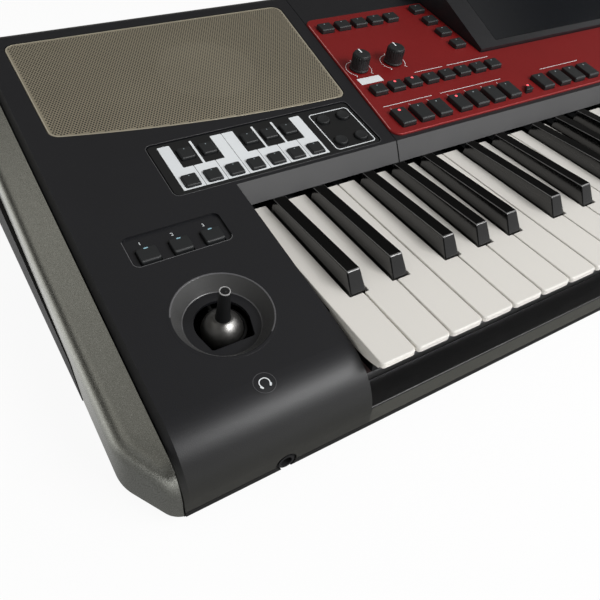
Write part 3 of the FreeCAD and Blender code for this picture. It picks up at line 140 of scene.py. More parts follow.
def box_ring(spot, size, radius, steps=4):
    x, y = spot
    w, d = size[0] / 2, size[1] / 2
    return soft_ring([(x - w, y - d, radius), (x + w, y - d, radius),
                      (x + w, y + d, radius), (x - w, y + d, radius)], steps)


def round_ring(spot, radius, count=24):
    turns = [2 * math.pi * k / count for k in range(count)]
    return [Vector((spot[0] + radius * math.cos(t), spot[1] + radius * math.sin(t))) for t in turns]


def mitres(ring):
    """For each point, the step that moves both of its edges inwards by one."""
    steps = []
    for i, point in enumerate(ring):
        a = (point - ring[i - 1]).normalized()
        b = (ring[(i + 1) % len(ring)] - point).normalized()
        left, right = Vector((-a.y, a.x)), Vector((-b.y, b.x))
        steps.append((left + right) / (1 + left.dot(right)))
    return steps


def inset(ring, width):
    """The same outline drawn inwards."""
    return [p + m * width for p, m in zip(ring, mitres(ring))]


# %% Mesh helpers
def strip(bm, rows, slot):
    """Joins rows of points, each a closed loop, with quads. The slot may differ per stretch."""
    slots = slot if isinstance(slot, list) else [slot] * len(rows)
    for low, high, slot in zip(rows, rows[1:], slots):
        for i in range(len(low)):
            j = (i + 1) % len(low)
            bm.faces.new((low[i], low[j], high[j], high[i])).material_index = slot


def loft(bm, rings, slot=0):
    rows = [[bm.verts.new(point) for point in ring] for ring in rings]
    strip(bm, rows, slot)
    ends = slot if isinstance(slot, list) else [slot]
    bm.faces.new(rows[0][::-1]).material_index = ends[0]
    bm.faces.new(rows[-1]).material_index = ends[-1]


def edge_rings(ring, radius, low, high, place, steps, side=1):
    """The rows of a wall from low to high that rounds over at the top."""
    lean = mitres(ring)
    radii = [radius(p) if callable(radius) else radius for p in ring]
    rows = [[place(p.x, p.y, low) for p in ring]]
    for k in range(steps + 1):
        turn = math.pi / 2 * k / steps
        cut, drop = 1 - math.cos(turn), 1 - math.sin(turn)
        rows.append([place(*(p + m * (side * r * cut)), high - r * drop)
                     for p, m, r in zip(ring, lean, radii)])
    return rows


def prism(bm, ring, low, high, place, edge=0.5, steps=3, slot=0):
    loft(bm, edge_rings(ring, edge, low, high, place, steps), slot)


def plate(bm, outer, holes, low, high, place, edge=0.4, steps=2, slot=0):
    """A flat piece with holes, rounded along its rim and round each hole."""
    tops, feet, flat_top, flat_foot = [], [], [], []
    for ring, side in [(outer, 1)] + [(hole, -1) for hole in holes]:
        radius = edge if side > 0 else min(edge, 0.3)
        points = edge_rings(ring, radius, low, high, place, steps, side)
        rows = [[bm.verts.new(p) for p in row] for row in points]
        strip(bm, rows, slot)
        feet += rows[0]
        tops += rows[-1]
        flat_foot.append([p.to_3d() for p in ring])
        flat_top.append([p.to_3d() for p in inset(ring, side * radius)])
    for verts, flat in ((tops, flat_top), (feet, flat_foot)):
        for tri in tessellate_polygon(flat):
            bm.faces.new([verts[i] for i in tri]).material_index = slot


def revolve(bm, profile, place, count=48, slot=0, closed=False):
    """Turns (radius, height) points about the upright axis of place. The slot may differ per stretch."""
    turns = [2 * math.pi * k / count for k in range(count)]
    rows = []
    for radius, height in profile:
        if radius < 1e-6:
            rows.append([bm.verts.new(place(0, 0, height))])
        else:
            rows.append([bm.verts.new(place(radius * math.cos(t), radius * math.sin(t), height))
                         for t in turns])
    pairs = list(zip(rows, rows[1:])) + ([(rows[-1], rows[0])] if closed else [])
    slots = slot if isinstance(slot, list) else [slot] * len(pairs)
    for (low, high), slot in zip(pairs, slots):
        for i in range(count):
            j = (i + 1) % count
            face = [low[0]] if len(low) == 1 else [low[i], low[j]]
            face += [high[0]] if len(high) == 1 else [high[j], high[i]]
            bm.faces.new(face).material_index = slot


def arc(centre, radius, first, last, steps):
    turns = [math.radians(first + (last - first) * k / steps) for k in range(steps + 1)]
    return [(centre[0] + radius * math.cos(t), centre[1] + radius * math.sin(t)) for t in turns]


def in_scene(name, data):
    item = bpy.data.objects.new(name, data)
    bpy.context.scene.collection.objects.link(item)
    return item


def settle(name, bm, finishes, body, replaces, crease=35):
    """Turns the mesh into a finished piece that rides on its body."""
    bmesh.ops.recalc_face_normals(bm, faces=bm.faces)
    mesh = bpy.data.meshes.new(name)
    bm.to_mesh(mesh)
    bm.free()
    mesh.shade_smooth()
    mesh.set_sharp_from_angle(angle=math.radians(crease))
    for material in finishes:
        mesh.materials.append(material)
    piece = in_scene(name, mesh)
    weighted = piece.modifiers.new("even shading", "WEIGHTED_NORMAL")
    weighted.keep_sharp = True
    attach(piece, body)
    if replaces:
        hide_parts(*replaces)
    print("piece", name, len(mesh.polygons), "faces on", body)


# %% [markdown]
# ## Copies on spots
# Buttons, lamps and ribs repeat, so one small Geometry Nodes tree sets a shape on every
# point of a mesh. Its inputs are named, its result is made into a plain mesh, and that mesh is
# added to the piece that it belongs to.


# %% Copies tree
def tree_with(name, inputs):
    tree = bpy.data.node_groups.new(name, "GeometryNodeTree")
    tree.interface.new_socket("Geometry", in_out="INPUT", socket_type="NodeSocketGeometry")
    for label, kind in inputs:
        tree.interface.new_socket(label, in_out="INPUT", socket_type=kind)
    tree.interface.new_socket("Geometry", in_out="OUTPUT", socket_type="NodeSocketGeometry")
    return tree, tree.nodes.new("NodeGroupInput"), tree.nodes.new("NodeGroupOutput")


copies_tree, given, made = tree_with("copies_on_spots", [
    ("Shape", "NodeSocketObject"), ("Turn", "NodeSocketVector"), ("Finish", "NodeSocketMaterial")])
look = copies_tree.nodes.new("GeometryNodeObjectInfo")
put = copies_tree.nodes.new("GeometryNodeInstanceOnPoints")
real = copies_tree.nodes.new("GeometryNodeRealizeInstances")
coat = copies_tree.nodes.new("GeometryNodeSetMaterial")
for source, target in [
        (given.outputs["Geometry"], put.inputs["Points"]),
        (given.outputs["Shape"], look.inputs["Object"]),
        (look.outputs["Geometry"], put.inputs["Instance"]),
        (given.outputs["Turn"], put.inputs["Rotation"]),
        (put.outputs["Instances"], real.inputs["Geometry"]),
        (real.outputs["Geometry"], coat.inputs["Geometry"]),
        (given.outputs["Finish"], coat.inputs["Material"]),
        (coat.outputs["Geometry"], made.inputs["Geometry"])]:
    copies_tree.links.new(source, target)


def bake(tree, base_mesh, values):
    """Runs a tree on a mesh and gives back the plain mesh that it makes."""
    host = in_scene("bench", base_mesh)
    work = host.modifiers.new("work", "NODES")
    work.node_group = tree
    for item in tree.interface.items_tree:
        if item.in_out == "INPUT" and item.name in values:
            work[item.identifier] = values[item.name]
    graph = bpy.context.evaluated_depsgraph_get()
    result = bpy.data.meshes.new_from_object(host.evaluated_get(graph))
    host.modifiers.remove(work)
    bpy.data.objects.remove(host)
    return result


def added(bm, mesh):
    """Adds a plain mesh to bm and gives back its faces there."""
    before = len(bm.faces)
    bm.from_mesh(mesh)
    bm.faces.ensure_lookup_table()
    return bm.faces[before:]


def copies(bm, spots, shape, material, slot):
    """Adds the shape, drawn in metres about its own middle, to bm at every spot of the deck."""
    mesh = bpy.data.meshes.new("template")
    shape.to_mesh(mesh)
    shape.free()
    template = in_scene("template", mesh)
    points = bpy.data.meshes.new("spots")
    points.from_pydata([tuple(p) for p in spots], [], [])
    result = bake(copies_tree, points, {"Shape": template, "Turn": (TILT, 0, 0), "Finish": material})
    for face in added(bm, result):
        face.material_index = slot
    bpy.data.objects.remove(template)


print("copies tree:", len(copies_tree.nodes), "nodes")

# %% [markdown]
# ## Finishes
# Moulded plastic is never one flat colour: it has a fine sparked grain, and its tone drifts a little
# over a large moulding. Paint and metal have flakes. These effects are shader node groups, so that
# every finish can use them with its own values, while each finish keeps its own Principled shader.


# %% Shader groups
def shader_group(name, inputs, outputs):
    tree = bpy.data.node_groups.new(name, "ShaderNodeTree")
    for label, kind, value in inputs:
        socket = tree.interface.new_socket(label, in_out="INPUT", socket_type=kind)
        socket.default_value = value
    for label, kind in outputs:
        tree.interface.new_socket(label, in_out="OUTPUT", socket_type=kind)
    return tree, tree.nodes.new("NodeGroupInput"), tree.nodes.new("NodeGroupOutput")


def object_noise(tree, size_socket, detail):
    """Noise on Object coordinates; the socket gives the size of a grain in millimetres."""
    where = tree.nodes.new("ShaderNodeTexCoord")
    scale = tree.nodes.new("ShaderNodeMath")
    scale.operation = "DIVIDE"
    scale.inputs[0].default_value = 1000.0
    noise = tree.nodes.new("ShaderNodeTexNoise")
    noise.inputs["Detail"].default_value = detail
    tree.links.new(size_socket, scale.inputs[1])
    tree.links.new(where.outputs["Object"], noise.inputs["Vector"])
    tree.links.new(scale.outputs[0], noise.inputs["Scale"])
    return noise


def feed(tree, socket, value):
    """Links an output to the socket, or sets a plain value on it."""
    if isinstance(value, bpy.types.NodeSocket):
        tree.links.new(value, socket)
    else:
        socket.default_value = value


def ranged(tree, value, low, high, to_low, to_high):
    node = tree.nodes.new("ShaderNodeMapRange")
    labels = ("Value", "From Min", "From Max", "To Min", "To Max")
    for label, term in zip(labels, (value, low, high, to_low, to_high)):
        feed(tree, node.inputs[label], term)
    return node.outputs["Result"]


def sum_of(tree, *terms):
    """Adds up (output, factor) pairs, held between nought and one."""
    total = 0.0
    for output, factor in terms:
        node = tree.nodes.new("ShaderNodeMath")
        node.operation = "MULTIPLY_ADD"
        node.use_clamp = True
        for socket, term in zip(node.inputs, (output, factor, total)):
            feed(tree, socket, term)
        total = node.outputs[0]
    return total


def blended(tree, share, first, second):
    """A colour between two, each a plain colour or an output."""
    node = tree.nodes.new("ShaderNodeMix")
    node.data_type = "RGBA"
    for socket, term in ((node.inputs["Factor"], share), (node.inputs[6], first), (node.inputs[7], second)):
        feed(tree, socket, term)
    return node.outputs[2]


def axis_of(tree, space, axis):
    """One axis of the Object or the Generated coordinates."""
    where = tree.nodes.new("ShaderNodeTexCoord")
    split = tree.nodes.new("ShaderNodeSeparateXYZ")
    tree.links.new(where.outputs[space], split.inputs[0])
    return split.outputs[axis]


grain_group, given, made = shader_group("moulded_grain", [
    ("Grain mm", "NodeSocketFloat", 0.6), ("Roughness", "NodeSocketFloat", 0.5),
    ("Rougher", "NodeSocketFloat", 0.6)],
    [("Height", "NodeSocketFloat"), ("Roughness", "NodeSocketFloat")])
noise = object_noise(grain_group, given.outputs["Grain mm"], 2.0)
grain_group.links.new(noise.outputs["Fac"], made.inputs["Height"])
grain_group.links.new(ranged(grain_group, noise.outputs["Fac"], 0.35, 0.65,
                             given.outputs["Roughness"], given.outputs["Rougher"]), made.inputs["Roughness"])

drift_group, given, made = shader_group("tone_drift", [
    ("Colour", "NodeSocketColor", (0.5, 0.5, 0.5, 1)), ("Patch mm", "NodeSocketFloat", 60.0),
    ("Darker", "NodeSocketFloat", 0.95), ("Lighter", "NodeSocketFloat", 1.05)],
    [("Colour", "NodeSocketColor")])
noise = object_noise(drift_group, given.outputs["Patch mm"], 3.0)
gain = drift_group.nodes.new("ShaderNodeVectorMath")
gain.operation = "SCALE"
drift_group.links.new(given.outputs["Colour"], gain.inputs[0])
drift_group.links.new(ranged(drift_group, noise.outputs["Fac"], 0.3, 0.7,
                             given.outputs["Darker"], given.outputs["Lighter"]), gain.inputs["Scale"])
drift_group.links.new(gain.outputs[0], made.inputs["Colour"])

flake_group, given, made = shader_group("paint_flakes", [
    ("Colour", "NodeSocketColor", (0.5, 0.5, 0.5, 1)), ("Flake", "NodeSocketColor", (1, 1, 1, 1)),
    ("Flake mm", "NodeSocketFloat", 0.4), ("Strength", "NodeSocketFloat", 0.5)],
    [("Colour", "NodeSocketColor")])
noise = object_noise(flake_group, given.outputs["Flake mm"], 1.0)
mask = ranged(flake_group, noise.outputs["Fac"], 0.45, 0.72, 0.0, given.outputs["Strength"])
tint = blended(flake_group, mask, given.outputs["Colour"], given.outputs["Flake"])
flake_group.links.new(tint, made.inputs["Colour"])
print("shader groups:", grain_group.name, drift_group.name, flake_group.name)


# %% Finish builder
def grouped(material, tree, values):
    node = material.node_tree.nodes.new("ShaderNodeGroup")
    node.node_tree = tree
    for label, value in values.items():
        node.inputs[label].default_value = value
    return node


def finish(name, colour, roughness, grain=0.6, depth=0.1, drift=0.06, patch=70.0, flake=None, uneven=0.08,
           **plain):
    """A material: drifting tone, grained roughness and a fine bump. The grain and the patches are in
    millimetres; a flake has a colour, a size in millimetres and a strength."""
    material = bpy.data.materials.new(name)
    material.use_nodes = True
    links = material.node_tree.links
    shader = material.node_tree.nodes["Principled BSDF"]
    tone = grouped(material, drift_group, {"Colour": (*colour, 1), "Patch mm": patch,
                                           "Darker": 1 - drift, "Lighter": 1 + drift})
    tint = tone.outputs["Colour"]
    if flake:
        spark = grouped(material, flake_group, {"Flake": (*flake[0], 1), "Flake mm": flake[1],
                                                "Strength": flake[2]})
        links.new(tint, spark.inputs["Colour"])
        tint = spark.outputs["Colour"]
    links.new(tint, shader.inputs["Base Color"])
    skin = grouped(material, grain_group, {"Grain mm": grain, "Roughness": roughness * (1 - uneven),
                                           "Rougher": min(1.0, roughness * (1 + uneven))})
    links.new(skin.outputs["Roughness"], shader.inputs["Roughness"])
    bump = material.node_tree.nodes.new("ShaderNodeBump")
    bump.inputs["Strength"].default_value = depth
    bump.inputs["Distance"].default_value = 0.0001
    links.new(skin.outputs["Height"], bump.inputs["Height"])
    links.new(bump.outputs["Normal"], shader.inputs["Normal"])
    for label, value in plain.items():
        shader.inputs[label.replace("_", " ")].default_value = value
    return material


satin_black = finish("satin_black_shell", (0.0098, 0.0101, 0.0124), 0.42, 0.55, 0.6,
                     Specular_IOR_Level=0.5)
rail_black = finish("satin_black_rail", (0.005, 0.005, 0.0054), 0.4, 0.55, 0.5, Specular_IOR_Level=0.6)
# Lighter grey than the deck: partly the face's own grain, partly a painted sheen.
fallboard_grey_sheen = finish("grained_fallboard_painted_sheen", (0.062, 0.062, 0.064), 0.5, 0.4, 0.6, Specular_IOR_Level=0.5)
bowl_grey = finish("grained_bowl", (0.066, 0.066, 0.066), 0.42, 0.5, 0.9, uneven=0.25)
under_black = finish("plain_black_base", (0.012, 0.012, 0.012), 0.6, 0.9, 0.35)
cap_grey = finish("grey_metallic_cap", (0.49, 0.495, 0.445), 0.27, 0.35, 0.7,
                  flake=((0.95, 0.95, 0.9), 0.4, 0.6), uneven=0.2, Metallic=1.0)
panel_red = finish("red_metallic_panel", (0.232, 0.009, 0.0095), 0.36, 0.3, 0.06,
                   flake=((0.5, 0.05, 0.05), 0.3, 0.35), Metallic=0.3)
champagne = finish("champagne_metal", (0.42, 0.375, 0.28), 0.42, 0.3, 0.08, Metallic=0.55)
# A lighter champagne for a line round the grille's rim: a painted highlight.
champagne_rim_highlight = finish("champagne_rim_highlight", (0.6, 0.56, 0.45), 0.35, 0.3, 0.08, Metallic=0.4)
ivory = finish("ivory_white_key", (0.73, 0.71, 0.67), 0.3, 0.4, 0.004, drift=0.006, patch=300.0, uneven=0.02)
# A lighter ivory for the walls of the two end keys: painted light on them.
ivory_lit_side = finish("ivory_key_side_painted_light", (0.84, 0.82, 0.76), 0.35, 0.4, 0.004, drift=0.006, patch=300.0,
                    uneven=0.02)
ebony = finish("polished_black_key", (0.0015, 0.0015, 0.0016), 0.13, 2.0, 0.01, Specular_IOR_Level=0.85)
# Light grey for the rounded top edge of the black keys: a painted highlight.
ebony_edge_highlight = finish("painted_highlight_key_edge", (0.14, 0.14, 0.14), 0.25, 2.0, 0.01, Specular_IOR_Level=0.8)
charcoal = finish("charcoal_button", (0.015, 0.0165, 0.0175), 0.48, 0.35, 0.2)
pad_dark = finish("satin_pad", (0.007, 0.0075, 0.008), 0.45, 0.4, 0.2)
# Near-black for the dark seam lines and for the gimbal, where it paints the shade in the gap round the ball.
seam_and_shade_black = finish("matt_deep_black", (0.003, 0.003, 0.003), 0.75, 0.5, 0.1, Specular_IOR_Level=0.2)
gloss_black = finish("gloss_black_stick", (0.006, 0.006, 0.0065), 0.16, 2.0, 0.03)
white_print = finish("white_print", (0.74, 0.77, 0.79), 0.55, 0.3, 0.1, drift=0.03)
# Pale pink for a line along each end of the red panel: a painted highlight.
panel_edge_highlight = finish("painted_highlight_panel_edge", (0.5, 0.2, 0.19), 0.35, 0.3, 0.1, drift=0.03)
# Dark discs in place of the grille holes: painted shade, a little lighter where the cone lies behind.
hole_dark = finish("hole_shadow", (0.014, 0.013, 0.01), 0.7, 0.5, 0.1)
hole_cone = finish("hole_over_cone", (0.05, 0.046, 0.036), 0.7, 0.5, 0.1)
glass_dark = finish("display_glass", (0.006, 0.007, 0.009), 0.12, 2.0, 0.02)
zinc = finish("zinc_plated_steel", (0.42, 0.42, 0.43), 0.35, 1.5, 0.1, Metallic=0.9)
felt_dark = finish("dark_felt", (0.02, 0.008, 0.008), 0.95, 0.4, 0.8)
silicone = finish("grey_silicone", (0.3, 0.31, 0.31), 0.6, 0.8, 0.15)
rubber = finish("black_rubber", (0.016, 0.016, 0.016), 0.75, 0.5, 0.35)
board = finish("solder_mask", (0.02, 0.12, 0.05), 0.35, 0.8, 0.1, drift=0.15, patch=12.0)
cone = finish("pressed_cone", (0.018, 0.018, 0.019), 0.8, 0.4, 0.5)
socket_black = finish("socket_moulding", (0.012, 0.012, 0.013), 0.45, 0.4, 0.15)


def two_tone(material, colour, low, high):
    """Turns to another colour below a height of the frame, in metres; here it paints light on faces low down.
    """
    tree = material.node_tree
    target = tree.nodes["Principled BSDF"].inputs["Base Color"]
    share = ranged(tree, axis_of(tree, "Object", "Z"), low, high, 0.0, 1.0)
    tree.links.new(blended(tree, share, (*colour, 1), target.links[0].from_socket), target)


# Painted light: the rail's front face and the lower faces of the satin black pieces are lighter below these
# heights.
RAIL_LIT_FACE_HEIGHTS, FRONT_LIT_FACE_HEIGHTS = (0.0219, 0.0224), (0.016, 0.044)
two_tone(rail_black, (0.062, 0.062, 0.053), *RAIL_LIT_FACE_HEIGHTS)
two_tone(satin_black, (0.034, 0.034, 0.03), *FRONT_LIT_FACE_HEIGHTS)


def lamp(name, colour, glow):
    material = finish(name, colour, 0.3, 0.5, 0.03, drift=0.04)
    shader = material.node_tree.nodes["Principled BSDF"]
    shader.inputs["Emission Color"].default_value = (*colour, 1)
    shader.inputs["Emission Strength"].default_value = glow
    return material


lamp_red = lamp("lit_red_lamp", (0.9, 0.1, 0.12), 0.9)
lamp_off = finish("clear_lamp", (0.24, 0.29, 0.31), 0.3, 0.5, 0.03, drift=0.04)
lamp_blue = lamp("pale_blue_lamp", (0.22, 0.38, 0.45), 0.25)
print("finishes:", len(bpy.data.materials))

# %% [markdown]
# ## Finishes of the CAD pieces
# A CAD node that already has the right shape only needs its finish: the material slots of its
# object are filled, and its mesh is left alone.

# %% Dress the CAD nodes
dressing = {
    satin_black: ("left_shell", "right_shell", "centre_frame", "display_bezel"),
    rail_black: ("front_rail",),
    under_black: ("bottom_case", "rear_panel"),
    cap_grey: ("left_end_cap", "right_end_cap"),
    panel_red: ("control_panel",),
    champagne: ("left_grille", "right_grille"),
    pad_dark: ("scale_pad", "joystick_cup"),
    # The gimbal is near-black: painted shade in the gate round the ball.
    seam_and_shade_black: ("joystick_gimbal",),
    gloss_black: ("joystick_lever",),
    zinc: ("key_chassis", "pivot_rod", "case_screws"),
    felt_dark: ("stop_felt",),
    silicone: ("contact_strip",),
    rubber: ("rubber_feet",),
    board: ("contact_board", "main_board", "power_supply", "amplifier_board", "panel_boards"),
    cone: ("left_speaker", "right_speaker"),
    socket_black: ("headphone_jack", "rear_sockets", "mains_inlet"),
    glass_dark: ("display_screen",),
}
finish_of = {node: material for material, group in dressing.items() for node in group}
for node, piece in nodes.items():
    material = finish_of.get(node, charcoal)
    if node.startswith("white_key"):
        material = ivory
    elif node.startswith("black_key"):
        material = ebony
    if not piece.material_slots:
        piece.data.materials.append(material)
    for slot in piece.material_slots:
        slot.material = material
print("dressed", len(nodes), "CAD nodes")

# %% [markdown]
# ## White keys
# A white key is a thin cap with a soft lip, notched for its black neighbours, on a deep rib that
# runs back to the pivot. One outline function draws all 36, and the cap's edge radius grows
# towards the lip. The ribs are dark satin, which paints the shade under the caps, and the walls of
# the two end keys are a lighter ivory, which paints light on them.

# %% White keys
PITCH = 23.5
WHITE_KEYS = 36
SHIFTS = {1: -3.0, 2: 3.4, 4: -3.6, 5: 0.0, 6: 2.7}
KEY_FRONT, KEY_NOTCH, KEY_REAR = -2.0, 46.5, 143.0
KEY_GAP, NECK_GAP, CAP_LOW = 0.5, 6.5, -3.4
RIB_LOW, RIB_TOP, RIB_JOIN, RIB_REAR = -16.0, -6.05, -3.3, 213.9
SKIRT = [(0.6, RIB_JOIN), (0.6, -4.6), (6.5, -6.7), (13.2, -8.1), (27.0, -9.8), (46.0, -10.6),
         (46.0, RIB_JOIN)]


def sharp_at(seam):
    """The middle of the black key over a seam, if there is one."""
    if seam % 7 in SHIFTS and 0 < seam < WHITE_KEYS - 1:
        return seam * PITCH + SHIFTS[seam % 7]
    return None


def notched(left, right, rear_left, rear_right, front, notch, rear, soft):
    """Outline of a white key: full width in front, narrower between its black neighbours."""
    corners = [(left, front, soft), (right, front, soft)]
    if rear_right < right:
        corners += [(right, notch, 0.6), (rear_right, notch, 0.5)]
    corners += [(rear_right, rear, 0.6), (rear_left, rear, 0.6)]
    if rear_left > left:
        corners += [(rear_left, notch, 0.5), (left, notch, 0.6)]
    return soft_ring(corners, 4)


def lip(point):
    return 0.45 + 0.75 * held((2.0 - point.y) / 3.0)


def bar(bm, x_span, outline, slot=0):
    """A side outline of (y, z) points pulled along x."""
    loft(bm, [[at(x, y, z) for y, z in outline] for x in x_span], slot)


def rib(bm, x_span, front, rear, slot=0):
    """The deep rib below a cap, which runs on behind it to the pivot."""
    bar(bm, x_span, [(front, RIB_LOW), (RIB_REAR, RIB_LOW), (RIB_REAR, RIB_TOP), (rear, RIB_TOP),
                     (rear, RIB_JOIN), (front, RIB_JOIN)], slot)


def white_key(bm, index):
    left, right = index * PITCH + KEY_GAP, (index + 1) * PITCH - KEY_GAP
    low, high = sharp_at(index), sharp_at(index + 1)
    rear_left = left if low is None else low + NECK_GAP
    rear_right = right if high is None else high - NECK_GAP
    ring = notched(left, right, rear_left, rear_right, KEY_FRONT, KEY_NOTCH, KEY_REAR, 2.6)
    # The two end keys take the lighter ivory on their walls and skirts, which paints light on them.
    side = 2 if index in (0, WHITE_KEYS - 1) else 0
    prism(bm, ring, CAP_LOW, 0.0, at, lip, 4, [side, side, 0, 0, 0])
    for near_side in (left + 0.05, right - 1.05):
        bar(bm, (near_side, near_side + 1.0), SKIRT, side)
    # The rib is dark satin: painted shade in the hollow under the cap.
    rib(bm, (rear_left + 2.5, rear_right - 2.5), 7.0, KEY_REAR - 0.1, 1)


white_groups = {"white_key_" + name: [i] for i, name in enumerate("cdefgab")}
white_groups["white_keys_second_octave"] = range(7, 14)
white_groups["white_keys_upper_octaves"] = range(14, WHITE_KEYS)
for node, indices in white_groups.items():
    bm = bmesh.new()
    for index in indices:
        white_key(bm, index)
    settle("ivory_" + node, bm, [ivory, pad_dark, ivory_lit_side], node, [node])

# %% [markdown]
# ## Black keys
# The black caps narrow upwards and their fronts lean back. The outline is pulled up through a
# place function that does the narrowing, so the rounded edges stay even. Two rows of the rounded
# top edge are light grey: a painted highlight.

# %% Black keys
BLACK_FRONT, BLACK_REAR = 47.6, 137.5
BLACK_TOP, BLACK_FALL = 11.3, 3.4
BLACK_HALF, BLACK_NARROWING, BLACK_LEAN = 5.4, 0.185, 7.2


def taper(middle):
    """Narrows upwards, leans the front back and lets the top fall towards the rear."""
    def place(x, y, z):
        share = held(z / BLACK_TOP)
        along = (y - BLACK_FRONT) / (BLACK_REAR - BLACK_FRONT)
        return at(middle + x * (1 - BLACK_NARROWING * share), y + BLACK_LEAN * share * (1 - along),
                  z - BLACK_FALL * share * along)
    return place


def brow(point):
    return 0.5 + 0.5 * held((BLACK_FRONT + 1.8 - point.y) / 1.5)


def black_key(bm, seam):
    middle = sharp_at(seam)
    ring = soft_ring([(-BLACK_HALF, BLACK_FRONT, 0.9), (BLACK_HALF, BLACK_FRONT, 0.9),
                      (BLACK_HALF, BLACK_REAR, 0.5), (-BLACK_HALF, BLACK_REAR, 0.5)], 3)
    place = taper(middle)
    rows = [[place(p.x, p.y, CAP_LOW) for p in ring]] + edge_rings(ring, brow, 0.0, BLACK_TOP, place, 4)
    # The two middle rows of the rounded top edge take the painted highlight.
    loft(bm, rows, [0, 0, 0, 1, 1, 0])
    rib(bm, (middle - 3.5, middle + 3.5), 48.0, BLACK_REAR - 0.1)


names = {1: "c_sharp", 2: "d_sharp", 4: "f_sharp", 5: "g_sharp", 6: "a_sharp"}
black_groups = {"black_key_" + name: [seam] for seam, name in names.items()}
black_groups["black_keys_second_octave"] = [s for s in range(7, 14) if sharp_at(s)]
black_groups["black_keys_upper_octaves"] = [s for s in range(14, WHITE_KEYS) if sharp_at(s)]
for node, seams in black_groups.items():
    bm = bmesh.new()
    for seam in seams:
        black_key(bm, seam)
    settle("ebony_" + node, bm, [ebony, ebony_edge_highlight], node, [node])

# %% [markdown]
# ## Fallboard
# The leaning face behind the keys has a coarser spark grain than the deck and a lighter grey, which
# in part paints the sheen it shows. A CAD node has one finish, so the face gets a skin a twentieth of a
# millimetre thick, parted at the two seams.

# %% Fallboard
FALL_LEAN = math.radians(28.0)
FALL_FOOT = 1.0
FALL_TOP = deck_height(FALL_Y)
FALL_LENGTH = (FALL_TOP - FALL_FOOT) / math.cos(FALL_LEAN)


def fall_face(x, s, h):
    """A place on the leaning face: along it, up from its foot, out of it."""
    y = FALL_Y - (FALL_LENGTH - s) * math.sin(FALL_LEAN) - h * math.cos(FALL_LEAN)
    return at(x, y, FALL_FOOT + s * math.cos(FALL_LEAN) + h * math.sin(FALL_LEAN))


SEAM_LINE = (SEAM - 0.3, SEAM + 0.8)
FAR_SEAM = (sided(SEAM_LINE[1]), sided(SEAM_LINE[0]))
FALL_ENDS = (-1.4, 847.4)
skins = [(FALL_ENDS[0], SEAM_LINE[0]), (SEAM_LINE[1], FAR_SEAM[0]), (FAR_SEAM[1], FALL_ENDS[1])]
seams = [SEAM_LINE, FAR_SEAM]
bm = bmesh.new()
for slot, spans in enumerate((skins, seams)):
    for start, end in spans:
        ring = box_ring(((start + end) / 2, FALL_LENGTH / 2), (end - start, FALL_LENGTH - 0.2), 0.05, 1)
        prism(bm, ring, -0.02, 0.05, fall_face, 0.02, 1, slot)
settle("fallboard_skin", bm, [fallboard_grey_sheen, seam_and_shade_black], "case", ())

# %% [markdown]
# ## End caps
# Each end of the case wears a grey painted moulding: a flat sloping top, a rounded outer edge, a
# rolled nose with a bevelled corner, and a foot that steps up behind the front. It is built as rows
# across the moulding, from front to rear. Each point's height is the side profile less a round-over
# that depends on how near the point is to the outer outline.

# %% End caps
CAP_OUT, CAP_IN = -131.0, -110.3
CAP_FRONT = -4.0
NOSE_ROLL, REAR_ROLL = 14.0, 18.0
EDGE_ROLL_REAR, EDGE_ROLL_FRONT = 6.8, 10.5
CAP_TOP_DEPTH, CAP_FOOT_DEPTH = 6.0, 30.5
NOSE_FOOT, STEP_START, STEP_END = -47.5, 84.0, 94.0
cap_line = soft_ring([(0, CAP_FRONT, 0), (0, REAR_Y, 0), (CAP_OUT, REAR_Y, 20.0), (CAP_OUT, 25.0, 28.0),
                      (-114.5, CAP_FRONT, 10.0)], 8)[2:]


def cap_left(y):
    """Where the outline's left side is at y."""
    best = CAP_IN - 0.2
    for a, b in zip(cap_line, cap_line[1:]):
        low, high = sorted((a, b), key=lambda p: p.y)
        if low.y <= y <= high.y and high.y > low.y:
            best = min(best, low.x + (high.x - low.x) * (y - low.y) / (high.y - low.y))
    return best


def cap_depth(x, y):
    """Distance from a point to the outline."""
    point, best = Vector((x, y)), 99.0
    for a, b in zip(cap_line, cap_line[1:]):
        run = b - a
        share = held((point - a).dot(run) / run.length_squared)
        best = min(best, (point - a - run * share).length)
    return best


def cap_profile(y):
    """Height of the moulding's top, with its rolled nose and rear."""
    for edge, roll, side in ((CAP_FRONT, NOSE_ROLL, 1), (REAR_Y, REAR_ROLL, -1)):
        turn = math.radians(90) + TILT
        middle = edge + side * roll
        tangent = middle + roll * math.cos(turn)
        if (y - tangent) * side < 0:
            base = deck_height(middle, CAP_TOP_DEPTH) - roll / COS
            return base + math.sqrt(max(0.0, roll ** 2 - (y - middle) ** 2))
    return deck_height(y, CAP_TOP_DEPTH)


def cap_foot(y):
    """Height of the lower edge: low at the nose, then a step up to the case's side."""
    if y >= STEP_END:
        return deck_height(y, CAP_FOOT_DEPTH)
    rise = max(0.0, (y - STEP_START) / (STEP_END - STEP_START))
    return NOSE_FOOT + (deck_height(STEP_END, CAP_FOOT_DEPTH) - NOSE_FOOT) * rise


def cap_row(y):
    left = cap_left(y)
    foot = cap_foot(y)
    row = [(CAP_IN, foot)]
    top = cap_profile(y)
    roll = EDGE_ROLL_REAR + (EDGE_ROLL_FRONT - EDGE_ROLL_REAR) * held((150.0 - y) / 120.0)
    cuts = [roll * (1 - math.cos(math.radians(a))) for a in range(0, 91, 6)] + [16.0, CAP_IN - CAP_OUT]
    for cut in reversed(cuts):
        x = left + (CAP_IN - left) * cut / (CAP_IN - CAP_OUT)
        near_edge = max(0.0, roll - cap_depth(x, y))
        drop = roll - math.sqrt(roll ** 2 - near_edge ** 2)
        row.append((x, max(foot + 1.2, top - drop)))
    row += [(left, foot + 1.0), (left + 0.8, foot)]
    return row


